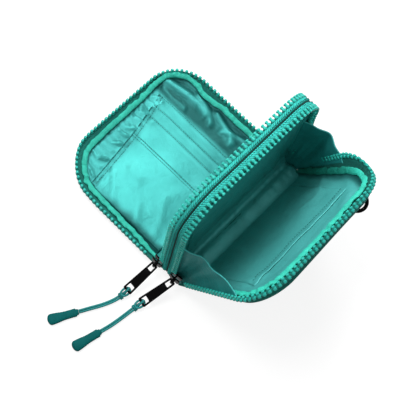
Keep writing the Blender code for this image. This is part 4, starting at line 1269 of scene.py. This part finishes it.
def pocket_shade(x, h):
    """Painted shade on the pockets: deep beside the binding, light at the end seam, and a little towards the
    hinge and towards -X.
    """
    reach = 0.0135 * (1 + 0.6 * wander(x / 0.020, h / 0.014, 74.0))
    beside = 0.95 * (1 - smooth_step(POCKET_END - x, 0.15 * reach, reach))
    beside *= 1 - 0.6 * smooth_step(h, 0.080, 0.110)
    seam = (1 - smooth_step(pocket_top(x) - h, 0.004, 0.011)) * (
        0.36 + 0.50 * wander(x / 0.005, h / 0.012, 75.0)
    )
    low = 0.26 * (1 - smooth_step(h, 0.020, 0.095)) + 0.24 * (1 - smooth_step(x, -0.030, 0.020))
    return min(1.0, max(0.0, beside, seam) + low)


for k, edge in enumerate(POCKET_EDGES):
    hem = edge + HEM_WIDTH
    across = [*np.linspace(edge, hem, 6), *np.arange(hem + 0.003, POCKET_END + 0.001, 0.003)]
    rows, cloth = [], []
    for x in across:
        tall = pocket_top(x) - POCKET_FOOT
        cloth.append([(x, POCKET_FOOT + tall * j / POCKET_ROWS) for j in range(POCKET_ROWS + 1)])
        lift = HEM_LIFT if x < hem else 0.0
        rows.append([tuple(front_point(x, h, pocket_depth(k, x, h) - lift)) for x, h in cloth[-1]])
    pocket = piece_from_grids("card_pocket_%d_satin" % (k + 1), [panel(rows, cloth)], SATIN)
    paint_shade(pocket, [pocket_shade(x, h) for places in cloth for x, h in places])
    thickened(pocket, SATIN_THICKNESS)
    fitted(pocket, "card_pocket_%d" % (k + 1), "front_leaf")


# Divider linings
# Satin covers both faces of the divider's board, and stands off it in soft swells. Its edge turns
# outwards to meet the tapes.
DIVIDER_SIDES = (("front", -1, 51.0), ("rear", 1, 57.0))
DIVIDER_FACE = 0.0016
DIVIDER_EDGE = 0.0044


def divider_puff(x, h, seed):
    """How far the satin stands off the board at a place away from its edge."""
    wide = 0.0007 * (0.6 + wander(x / 0.05, h / 0.04, seed))
    return max(0.0, wide + 0.0003 * wander(x / 0.014, h / 0.02, seed + 3))


for word, side, seed in DIVIDER_SIDES:

    def divider_face(x, h, inward, s, side=side, seed=seed):
        start = DIVIDER_FACE if s is None else DIVIDER_EDGE
        soft = 1 - math.sin(math.pi / 2 * min(1.0, inward / 0.0065))
        calm = smooth_step(inward, 0.004, 0.020)
        return side * (DIVIDER_FACE + (start - DIVIDER_FACE) * soft + calm * divider_puff(x, h, seed))

    edge = leaf_edge(lambda s: 0.0015, 0.0012, 0.096)
    face = dish("divider_%s_satin" % word, edge, divider_face, divider_point, SATIN, SATIN_THICKNESS)
    fitted(face, "divider_lining_" + word, "divider")


# Divider board
# A stiff board stands inside the divider between its two linings, with its foot in the spine. It
# keeps its solid.
BOARD = grained_material(
    "stiffener board", (0.36, 0.34, 0.30), (0.22, 0.21, 0.18), 300.0,
    {"Detail": 4.0, "Scale": 1500.0}, 0.3, (0.85,),
)
board = frame["nodes"]["divider_stiffener"].data
board.materials.clear()
board.materials.append(BOARD)


# Slip pockets
# One flat satin pocket on the divider's rear face and one on the rear lining, open at the top and
# sewn down on the other three sides.
SLIP_HALF = 0.075
SLIP_FOOT = 0.008
SLIP_COLUMNS, SLIP_ROWS = 60, 45
DIVIDER_SLIP_TOP = 0.120
REAR_SLIP_TOP = 0.112


def slip_panel(top, place, depth_of, seed):
    """A slip pocket, which gapes at its mouth and is sewn down flat on its other sides."""
    rows, cloth = [], []
    for i in range(SLIP_COLUMNS + 1):
        x = -SLIP_HALF + 2 * SLIP_HALF * i / SLIP_COLUMNS
        beside = smooth_step(min(x + SLIP_HALF, SLIP_HALF - x), 0.0, 0.012)
        cloth.append([(x, SLIP_FOOT + (top - SLIP_FOOT) * j / SLIP_ROWS) for j in range(SLIP_ROWS + 1)])
        row = []
        for x, h in cloth[-1]:
            sewn = beside * smooth_step(h, SLIP_FOOT, SLIP_FOOT + 0.012)
            gape = 0.0003 * sewn * smooth_step(h, top - 0.030, top)
            gape *= 1 + 0.8 * wander(x / 0.035, seed)
            hem = 0.00015 if h > top - 0.006 else 0.0
            fold = 0.0003 * sewn * wander(x / 0.02, h / 0.03, seed)
            row.append(tuple(place(x, h, depth_of(x, h, 0.0004 + 0.0003 * sewn + gape + hem + fold))))
        rows.append(row)
    return panel(rows, cloth)


for word, body, top, place, depth_of, seed, satin in (
    (
        "divider", "divider", DIVIDER_SLIP_TOP, divider_point,
        lambda x, h, lift: DIVIDER_FACE + divider_puff(x, h, 57.0) + lift, 61.0, SATIN,
    ),
    (
        "rear", "rear_leaf", REAR_SLIP_TOP, rear_point,
        lambda x, h, lift: rear_floor(x, h) - lift, 67.0, SATIN_WITH_PAINTED_SHEEN,
    ),
):
    pocket = piece_from_grids(word + "_slip_pocket_satin", [slip_panel(top, place, depth_of, seed)], satin)
    fitted(thickened(pocket, SATIN_THICKNESS), word + "_slip_pocket", body)


# Hinge linings
# Inside each compartment a strip of satin runs from the foot of the divider across the spine to
# the leaf's lining. It lies in loose pleats, which let the leaf swing.
STRIP_HALF_LENGTH = 0.0981
STRIP_COLUMNS = 140
STRIP_STEP = 0.0014
PLEAT_HEIGHT = 0.0009


def hinge_strip(side, place):
    """The strip's panel. Its line runs down the divider's foot and across to under the lining."""
    over, down, under = place(0.0, 0.0024, 0.0014), place(0.0, 0.0090, 0.0120), place(0.0, 0.0150, 0.0146)
    line = smooth_route(
        [
            (0, side * 0.0012, HINGE_HEIGHT + 0.0082),
            (0, side * 0.0030, HINGE_HEIGHT + 0.0052),
            (0, side * 0.0055, HINGE_HEIGHT - 0.0012),
            (0, side * 0.0095, HINGE_HEIGHT - 0.0024),
            (0, over.y, over.z),
            (0, down.y, down.z),
            (0, under.y, under.z),
        ],
        STRIP_STEP,
    )
    rows, cloth = [], []
    for i in range(STRIP_COLUMNS + 1):
        x = (-1 + 2 * i / STRIP_COLUMNS) * STRIP_HALF_LENGTH
        drop = 0.0070 * (1 - math.sqrt(max(0.0, 1 - max(0.0, (abs(x) - 0.0914) / 0.0060) ** 2)))
        row = []
        for j, at in enumerate(line):
            t = j / (len(line) - 1)
            loose = max(0.0, math.sin(math.pi * min(1.0, max(0.0, t - 0.12) / 0.66))) ** 0.7
            pleat = wander(x / 0.0065, t * 1.2, side) + 0.8 * wander(x / 0.022, t, side + 5)
            narrower = 1 - 0.048 * smooth_step(t, 0.66, 1.0)
            row.append((x * narrower, at.y, at.z + PLEAT_HEIGHT * loose * pleat - drop * (1 - t * t)))
        rows.append(row)
        cloth.append([(x, j * STRIP_STEP) for j in range(len(line))])
    return panel(rows, cloth)


for word, side, place, satin in (("front", -1, front_point, SATIN), ("rear", 1, rear_point, SATIN_WITH_PAINTED_SHEEN)):
    strip = piece_from_grids(word + "_hinge_satin", [hinge_strip(side, place)], satin)
    thickened(strip, SATIN_THICKNESS)
    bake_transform(strip)


# Spine
# The outer cloth runs under the divider as a soft trough, which joins the leaves and which the
# pouch stands on.
SPINE_HALF_LENGTH = 0.0946
SPINE_HALF_WIDTH = 0.01245
SPINE_ROUND = 0.0048
SPINE_TOP = HINGE_HEIGHT - 0.0006
SPINE_FLAT = 0.0005
SPINE_THICKNESS = 0.0008
SPINE_RINGS, SPINE_COLUMNS = 16, 200
SPINE_CORNERS = ((1, -1), (1, -1), (1, 1), (1, 1), (-1, 1), (-1, 1), (-1, -1), (-1, -1))


def spine_ring(r):
    """Height of a ring of the trough, and how far it is drawn in: wall, rounded edge, flat foot."""
    if r < 6:
        return SPINE_TOP - (SPINE_TOP - SPINE_ROUND) * r / 5, 0.0
    if r < 12:
        turn = math.pi / 2 * (r - 5) / 6
        return SPINE_ROUND - (SPINE_ROUND - SPINE_FLAT) * math.sin(turn), SPINE_ROUND * (1 - math.cos(turn))
    return SPINE_FLAT, SPINE_ROUND + (SPINE_HALF_WIDTH - SPINE_ROUND - 0.0004) * (r - 11) / 4


def spine_grid():
    """Rounded rectangles from the trough's open top to its foot, with both ends of the top lower."""
    grid = np.zeros((SPINE_RINGS, SPINE_COLUMNS, 3))
    cloth = np.zeros((SPINE_RINGS, SPINE_COLUMNS, 2))
    for r in range(SPINE_RINGS):
        z, draw = spine_ring(r)
        low = 0.0045 * (1 - r / 5) if r < 6 else 0.0
        half_x, half_y = SPINE_HALF_LENGTH - draw, SPINE_HALF_WIDTH - draw
        corner = max(0.0002, min(half_y - 0.0001, 0.0042 - draw * 0.4))
        side_run, end_run, arc_run = 2 * (half_x - corner), 2 * (half_y - corner), math.pi / 2 * corner
        whole = 2 * (side_run + end_run) + 4 * arc_run
        for c in range(SPINE_COLUMNS):
            d = whole * c / SPINE_COLUMNS
            for k, (length, straight) in enumerate(
                ((side_run, True), (arc_run, False), (end_run, True), (arc_run, False)) * 2
            ):
                if d <= length or k == 7:
                    break
                d -= length
            cx, cy = SPINE_CORNERS[k][0] * (half_x - corner), SPINE_CORNERS[k][1] * (half_y - corner)
            turned = -math.pi / 2 + math.pi / 2 * (k // 2)
            if straight:
                nx, ny = math.cos(turned), math.sin(turned)
                tx, ty = -ny, nx
                spot = (cx + nx * corner - tx * (length - d), cy + ny * corner - ty * (length - d))
            else:
                turned += d / corner
                spot = (cx + corner * math.cos(turned), cy + corner * math.sin(turned))
            sway = 0.0003 * wander(spot[0] / 0.02, spot[1] / 0.02, z / 0.01)
            level = 1.0 if r < 6 else 0.3
            sunk = z - low * smooth_step(abs(spot[0]), 0.0900, 0.0940)
            grid[r, c] = spot[0], spot[1] - math.copysign(abs(sway) * level, spot[1]), sunk
            cloth[r, c] = whole * c / SPINE_COLUMNS, z + draw
    return grid, False, True, False, cloth


spine = piece_from_grids("spine_cloth", [spine_grid()], SHELL_CLOTH)
close_last_ring(spine, SPINE_COLUMNS)
fitted(thickened(spine, SPINE_THICKNESS), "spine_panel", "divider")


# Gussets
# At each end of the main compartment a fan of satin-backed cloth is sewn to the divider and to the
# rear leaf. The leaf leans back until they are tight. Each has a folded hem along its top.
# The gusset satin is the lining's cloth painted darker: painted shade for the compartment's ends.
GUSSET_SATIN_WITH_PAINTED_SHADE = yarn_material(
    "gusset satin", (0.026, 0.29, 0.28), (0.009, 0.13, 0.127), 2600.0, 0.0, 0.0, 0.42, 0.08,
    depth=0.5, gaps=0.15, bump=0.2, patches=35.0, crinkle=0.6, crinkle_per_metre=120.0, silk=0.15, gloss=0.08,
)
GUSSET_ROOT = 0.0030
GUSSET_LEAF_DEPTH = 0.0083
GUSSET_THICKNESS = 0.0005
GUSSET_FOLDS = 0.0022
GUSSET_HEM_RADIUS = 0.0008
GUSSET_CUTS = {"gusset_slider_end": (0.087, 0.115, 0.0045), "gusset_ring_end": (0.067, 0.106, 0.0042)}


def gusset_grid(end, inset, divider_height, leaf_height, dip, bulge, round_share, low_share, seed):
    """The fan from the divider to the rear leaf, with a dipping top edge, a bulge and soft folds."""
    columns, rows = 40, 34
    edge_x = HALF_LENGTH - inset
    grid = np.zeros((columns, rows, 3))
    for c in range(columns):
        share = c / (columns - 1)
        arch = math.sin(math.pi * share)
        top = divider_height + (leaf_height - divider_height) * share - dip * arch
        for r in range(rows):
            up = r / (rows - 1)
            foot = -0.0115 + 0.0085 * share ** 1.5
            h = foot + (top - foot) * up
            root = Vector((end * edge_x, GUSSET_ROOT, HINGE_HEIGHT + h))
            spot = root.lerp(rear_point(end * edge_x, h, GUSSET_LEAF_DEPTH), share)
            low = low_share * smooth_step(h, 0.0, 0.020) + (1 - low_share) * up
            spot.x -= end * bulge * arch ** round_share * low
            folds = math.sin(2 * math.pi * (2.2 * share + 0.35 * up) + seed)
            folds += 1.2 * wander(share * 3.0, up * 2.0, seed)
            spot.x -= end * GUSSET_FOLDS * folds * arch * smooth_step(up, 0.05, 0.5)
            grid[c, r] = spot
    return grid


for node, reach, *shape in (
    ("gusset_slider_end", 0.0830, 1, 0.0024, 0.078, 0.113, 0.010, 0.011, 0.6, 0.5, 0.4),
    ("gusset_ring_end", 0.0825, -1, 0.0034, 0.094, 0.095, 0.000, -0.0115, 1.2, 0.0, 2.1),
):
    grid = gusset_grid(*shape)
    gusset = piece_from_grids(node + "_satin", [panel(grid)], GUSSET_SATIN_WITH_PAINTED_SHADE)
    thickened(gusset, GUSSET_THICKNESS)
    edge = piece_from_grids(node + "_hem", [rod(swept(grid[:, -1], GUSSET_HEM_RADIUS, 10))], SATIN)
    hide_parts(node)
    for piece in (gusset, edge):
        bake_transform(piece)
    wide, tall, area = GUSSET_CUTS[node]


# Zip sliders
# Each slider is a casting of two plates, a post between the two rows and a bridge for the pull. It
# has the glossy black finish of the pulls and the D-ring, which is a little scuffed.
BLACK_METAL = grained_material(
    "black metal", (0.0022, 0.0022, 0.0024), (0.0008, 0.0008, 0.0010), 200.0,
    {"Detail": 5.0, "Scale": 420.0, "Roughness": 0.65}, 0.06, (0.06, 0.28), gloss=0.03,
)
SLIDER_LENGTH = 0.012
SLIDER_NOSE = 0.0068
SLIDER_TAIL = 0.0050
SLIDER_INNER = 0.0018
SLIDER_PLATE = 0.0012
SLIDER_START = 0.0015
POST_HALF = 0.0009
POST_START, POST_END = 0.0082, 0.0118
BRIDGE_RISE = 0.0042
BRIDGE_WALL = 0.0011
BRIDGE_LOW, BRIDGE_HIGH = 0.0017, 0.0103


def rounded_plate(name, outlines, thickness, rounding, matrix):
    """A flat casting from outlines in a plane, later ones being holes, with rounded edges."""
    curve = bpy.data.curves.new(name, "CURVE")
    curve.dimensions = "2D"
    curve.fill_mode = "BOTH"
    curve.extrude = thickness / 2 - rounding
    curve.bevel_depth = rounding
    curve.bevel_resolution = 2
    curve.offset = -rounding
    for outline in outlines:
        spline = curve.splines.new("POLY")
        spline.points.add(len(outline) - 1)
        for point, (x, y) in zip(spline.points, outline):
            point.co = (x, y, 0, 1)
        spline.use_cyclic_u = True
    helper = add_object(name, curve)
    bpy.context.view_layer.update()
    graph = bpy.context.evaluated_depsgraph_get()
    mesh = bpy.data.meshes.new_from_object(helper.evaluated_get(graph))
    bpy.data.objects.remove(helper, do_unlink=True)
    mesh.transform(matrix)
    shaped = bmesh.new()
    shaped.from_mesh(mesh)
    bmesh.ops.remove_doubles(shaped, verts=shaped.verts, dist=1e-6)
    bmesh.ops.recalc_face_normals(shaped, faces=shaped.faces)
    shaped.to_mesh(mesh)
    shaped.free()
    return mesh


def rounded_corners(outline, radius, steps=4):
    """The outline with each corner rounded."""
    found = []
    count = len(outline)
    for k in range(count):
        before, here, after = (Vector(outline[(k + j) % count]) for j in (-1, 0, 1))
        back, on = (before - here), (after - here)
        r = min(radius, back.length * 0.45, on.length * 0.45)
        a, b = here + back.normalized() * r, here + on.normalized() * r
        for s in range(steps + 1):
            t = s / steps
            found.append(tuple((1 - t) ** 2 * a + 2 * t * (1 - t) * here + t * t * b))
    return found


def casting(name, meshes):
    """One black metal piece from several meshes that are cast together."""
    shaped = bmesh.new()
    for mesh in meshes:
        shaped.from_mesh(mesh)
    mesh = bpy.data.meshes.new(name)
    shaped.to_mesh(mesh)
    shaped.free()
    mesh.shade_smooth()
    mesh.set_sharp_from_angle(angle=math.radians(35))
    mesh.materials.append(BLACK_METAL)
    return add_object(name, mesh)


for word, side in (("front", -1), ("rear", 1)):
    seat = Matrix.Translation((HALF_LENGTH, side * HALF_BAND, HINGE_HEIGHT + SLIDER_START))
    upright = Matrix.Rotation(math.pi / 2, 4, "Z") @ Matrix.Rotation(math.pi / 2, 4, "X")
    outline = rounded_corners(
        [
            (-SLIDER_TAIL, 0.0),
            (SLIDER_TAIL, 0.0),
            (SLIDER_NOSE, SLIDER_LENGTH * 0.45),
            (SLIDER_NOSE, SLIDER_LENGTH),
            (0.0, SLIDER_LENGTH - 0.0022),
            (-SLIDER_NOSE, SLIDER_LENGTH),
            (-SLIDER_NOSE, SLIDER_LENGTH * 0.45),
        ],
        0.0020,
    )
    meshes = []
    for x in (-1, 1):
        shift = Matrix.Translation((x * (SLIDER_INNER + SLIDER_PLATE / 2), 0, 0)) @ upright
        meshes.append(rounded_plate("plate", [outline], SLIDER_PLATE, 0.0003, seat @ shift))
    post = rounded_corners(
        [
            (-POST_HALF, POST_START), (POST_HALF, POST_START),
            (POST_HALF, POST_END), (-POST_HALF, POST_END),
        ],
        0.0005,
    )
    meshes.append(rounded_plate("post", [post], 2 * SLIDER_INNER + 0.0010, 0.0002, seat @ upright))
    base = SLIDER_INNER + SLIDER_PLATE - 0.0005
    rise = SLIDER_INNER + SLIDER_PLATE + BRIDGE_RISE
    outer = [
        (base, BRIDGE_LOW), (rise - 0.0008, BRIDGE_LOW), (rise + BRIDGE_WALL, BRIDGE_LOW + 0.0020),
        (rise + BRIDGE_WALL, BRIDGE_HIGH - 0.0020), (rise - 0.0008, BRIDGE_HIGH), (base, BRIDGE_HIGH),
    ]
    low, high = BRIDGE_LOW + BRIDGE_WALL, BRIDGE_HIGH - BRIDGE_WALL
    inner = [
        (base, high), (rise - 0.0012, high - 0.0003), (rise, high - 0.0018),
        (rise, low + 0.0018), (rise - 0.0012, low + 0.0003), (base, low),
    ]
    on_edge = Matrix.Rotation(math.pi / 2, 4, "X")
    bridge = rounded_corners(outer + inner, 0.0006)
    meshes.append(rounded_plate("bridge", [bridge], 0.0028, 0.0004, seat @ on_edge))
    fitted(casting(word + "_cast_slider", meshes), word + "_slider", word + "_slider")


# Metal pulls
# Each pull is a flat tapered casting with a hinge bar and a window at the slider, a plain waisted
# plate, and a window with an end bar for the cord.
PULL_START, PULL_END = -0.0008, PULL_LENGTH + 0.0012
PULL_BORDER = 0.0021
PULL_THICKNESS = 0.0016
PANEL_START, PANEL_END = 0.0105, 0.0312
PANEL_BORDER = 0.0013


def pull_shape(low, high, border):
    """Outline of the part of a pull between two places along it, in from its sides by a border."""
    a, b = (
        0.0044 + 0.0015 * (along - PULL_START) / (PULL_END - PULL_START) - border for along in (low, high)
    )
    return [(low, -a), (high, -b), (high, b), (low, a)]


for word, side, turn, route in PULLS:
    seat = pull_frame(side, turn)
    outlines = [
        rounded_corners(pull_shape(PULL_START, PULL_END, 0.0), 0.0018),
        rounded_corners(pull_shape(0.0014, 0.0086, PULL_BORDER), 0.0010)[::-1],
        rounded_corners(pull_shape(PULL_LENGTH - 0.0078, PULL_LENGTH - 0.0012, PULL_BORDER), 0.0010)[::-1],
    ]
    plate = rounded_plate("pull", outlines, PULL_THICKNESS, 0.00035, seat)
    raised = rounded_corners(pull_shape(PANEL_START, PANEL_END, PANEL_BORDER), 0.0012)
    lifted = seat @ Matrix.Translation((0, 0, PULL_THICKNESS / 2))
    meshes = [plate, rounded_plate("panel", [raised], 0.0008, 0.0003, lifted)]
    fitted(casting(word + "_metal_pull", meshes), word + "_pull", word + "_pull")


# Bottom stops
# A moulded block ends each row of teeth at the -X hinge end. It keeps its solid, with its edges
# softened.
for node in ("front_leaf_zip_stop", "rear_leaf_zip_stop", "divider_front_zip_stop", "divider_rear_zip_stop"):
    stop = frame["nodes"][node]
    stop.data.materials.clear()
    stop.data.materials.append(TEETH_PLASTIC)
    weld = stop.modifiers.new("weld", "WELD")
    weld.merge_threshold = 0.00001
    soften = stop.modifiers.new("soften", "BEVEL")
    soften.width = 0.0005
    soften.segments = 3
    stop.data.shade_smooth()


# D-ring and its tab
# The black metal D-ring hangs in a folded webbing tab, which is box-stitched to the back of the
# rear shell.
RING_X = -0.070
RING_HEIGHT = 0.121
RING_BORE = 0.0024
RING_TAB_WALL = 0.0009
RING_OUTER = RING_BORE + RING_TAB_WALL
RING_DEPTH = LEAF_DEPTH + 0.0003 + RING_OUTER
RING_WIRE = 0.0021
RING_HALF = 0.0215 / 2 + RING_WIRE
RING_REACH = 0.0145
TAB_LENGTH = 0.017
TAB_FREE_LENGTH = 0.0145
TAB_HALF_WIDTH = 0.007
WEBBING = yarn_material(
    "webbing", (0.020, 0.33, 0.27), (0.008, 0.15, 0.12), 1000.0, 1.0, 1.0, 0.8, 0.3,
    depth=0.4, gaps=0.6, bump=0.9,
)

pivot = leaning_point(RING_X, RING_HEIGHT, RING_DEPTH, REAR_LEAN)
points = []
for k in range(65):
    angle = math.pi * k / 64
    points.append(pivot + Vector((RING_HALF * math.cos(angle), 0.001 + RING_REACH * math.sin(angle), 0)))
for k in range(1, 24):
    points.append(pivot + Vector((-RING_HALF + 2 * RING_HALF * k / 24, -0.0002, 0)))
points = [
    points[k] * 0.5 + (points[k - 1] + points[(k + 1) % len(points)]) * 0.25
    for k in range(len(points))
]
ring = piece_from_grids("metal_d_ring", [hoop(swept(points, RING_WIRE, 20, closed=True))], BLACK_METAL)
fitted(ring, "d_ring", "d_ring")

middle = RING_BORE + RING_TAB_WALL / 2
tab_path = [(-RING_OUTER + 1.5 * RING_TAB_WALL, TAB_LENGTH - TAB_FREE_LENGTH * k / 8) for k in range(9)]
first = math.pi - 0.62
for k in range(25):
    angle = first - (first + math.pi) * k / 24
    tab_path.append((middle * math.cos(angle), middle * math.sin(angle)))
tab_path += [(-RING_OUTER + 0.5 * RING_TAB_WALL, TAB_LENGTH * k / 8) for k in range(1, 9)]
rows, cloth = [], []
run = 0.0
for k, (out, up) in enumerate(tab_path):
    if k:
        run += math.hypot(out - tab_path[k - 1][0], up - tab_path[k - 1][1])
    cloth.append([(run, x) for x in np.linspace(-TAB_HALF_WIDTH, TAB_HALF_WIDTH, 15)])
    rows.append(
        [
            tuple(leaning_point(RING_X + x, RING_HEIGHT + up, RING_DEPTH + out, REAR_LEAN))
            for run, x in cloth[-1]
        ]
    )
tab = thickened(piece_from_grids("d_ring_webbing", [panel(rows, cloth)], WEBBING), RING_TAB_WALL * 0.85)
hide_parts("d_ring_tab")
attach(tab, "rear_leaf")


# Stitching
# Seams are sewn with a darker thread of the same colour, as even stitches a little longer than
# their gaps.
THREAD = yarn_material(
    "sewing thread", (0.006, 0.12, 0.115), (0.002, 0.05, 0.048), 4000.0, 1.0, 0.0, 0.6, 0.1,
    depth=0.5, gaps=0.4, bump=0.4,
)
STITCH, STITCH_GAP, STITCH_RADIUS = 0.0022, 0.0012, 0.00027
# Rows of stitches: in from each pocket's hem, down from the end seam, up from the pockets' foot,
# down from the slip pocket's mouth, and the place on a tape as its inset and depth.
HEM_ROWS = ((0.0016,), (0.0016,), (0.0016,), (0.0010, 0.0040))
END_SEAM_ROWS = (0.0012, 0.0056)
FOOT_ROW = 0.0012
MOUTH_ROW = 0.0045
TAPE_ROW = (-0.0008, 0.0107)


def stitch_grids(line):
    """Small arched stitches along a line of points given as (place, outward direction)."""
    places = [p for p, out in line]
    outs = [out for p, out in line]
    lengths = [0.0]
    for a, b in zip(places, places[1:]):
        lengths.append(lengths[-1] + (b - a).length)

    def at(distance):
        k = min(len(lengths) - 2, max(0, int(np.searchsorted(lengths, distance)) - 1))
        share = (distance - lengths[k]) / max(1e-9, lengths[k + 1] - lengths[k])
        return places[k].lerp(places[k + 1], share), outs[k].lerp(outs[k + 1], share).normalized()

    grids = []
    count = int(lengths[-1] / (STITCH + STITCH_GAP))
    for k in range(count):
        begin = (k + 0.5) * lengths[-1] / count - STITCH / 2
        points = []
        for j in range(5):
            t = j / 4
            p, out = at(begin + STITCH * t)
            points.append(p + out * (STITCH_RADIUS * (2.6 * math.sin(math.pi * t) - 1.2)))
        grids.append(rod(swept(points, STITCH_RADIUS, 5)))
    return grids


def lined(place, rows, lift=0.0003):
    """A line of (place, outward direction) from rows of (x, height, depth)."""
    return [
        (place(x, h, depth - lift), (place(x, h, depth - 0.01) - place(x, h, depth)).normalized())
        for x, h, depth in rows
    ]


def across_pockets(height_at):
    """A line of stitches across the pockets, in the one that lies uppermost at each place."""
    rows = []
    for x in np.linspace(POCKET_EDGES[0] + 0.001, POCKET_END - 0.001, 70):
        top = max(k for k in range(4) if POCKET_EDGES[k] <= x)
        rows.append((x, height_at(x), pocket_depth(top, x, height_at(x)) - 0.0002))
    return lined(front_point, rows)


def rim_line(spot, inset, depth):
    """A line of stitches round the rim on a tape, which stand out away from the leaf's middle."""
    line = []
    for s in np.linspace(0.020, RIM_LENGTH - 0.020, 260):
        here = spot(s, inset, depth)
        out = (spot(s, inset - 0.01, depth) - here).normalized()
        line.append((here + out * 0.0004, out))
    return line


front_lines = []
for k, steps in enumerate(HEM_ROWS):
    for step in steps:
        x = POCKET_EDGES[k] + step
        heights = np.linspace(POCKET_FOOT + 0.001, pocket_top(x) - 0.001, 60)
        front_lines.append(lined(front_point, [(x, h, pocket_depth(k, x, h) - 0.0005) for h in heights]))
for drop in END_SEAM_ROWS:
    front_lines.append(across_pockets(lambda x, drop=drop: pocket_top(x) - drop))
front_lines.append(across_pockets(lambda x: POCKET_FOOT + FOOT_ROW))
mouth = REAR_SLIP_TOP - MOUTH_ROW
rear_rows = [(x, mouth, rear_floor(x, mouth) - 0.0030) for x in np.linspace(-0.072, 0.072, 70)]
for word, body, lines in (
    ("front", "front_leaf", front_lines),
    ("rear", "rear_leaf", [lined(rear_point, rear_rows)]),
    (
        "divider", "divider",
        [rim_line(spot, *TAPE_ROW) for spot in (divider_front_spot, divider_rear_spot)],
    ),
):
    grids = [grid for line in lines for grid in stitch_grids(line)]
    carry(piece_from_grids(word + "_stitching", grids, THREAD), body)
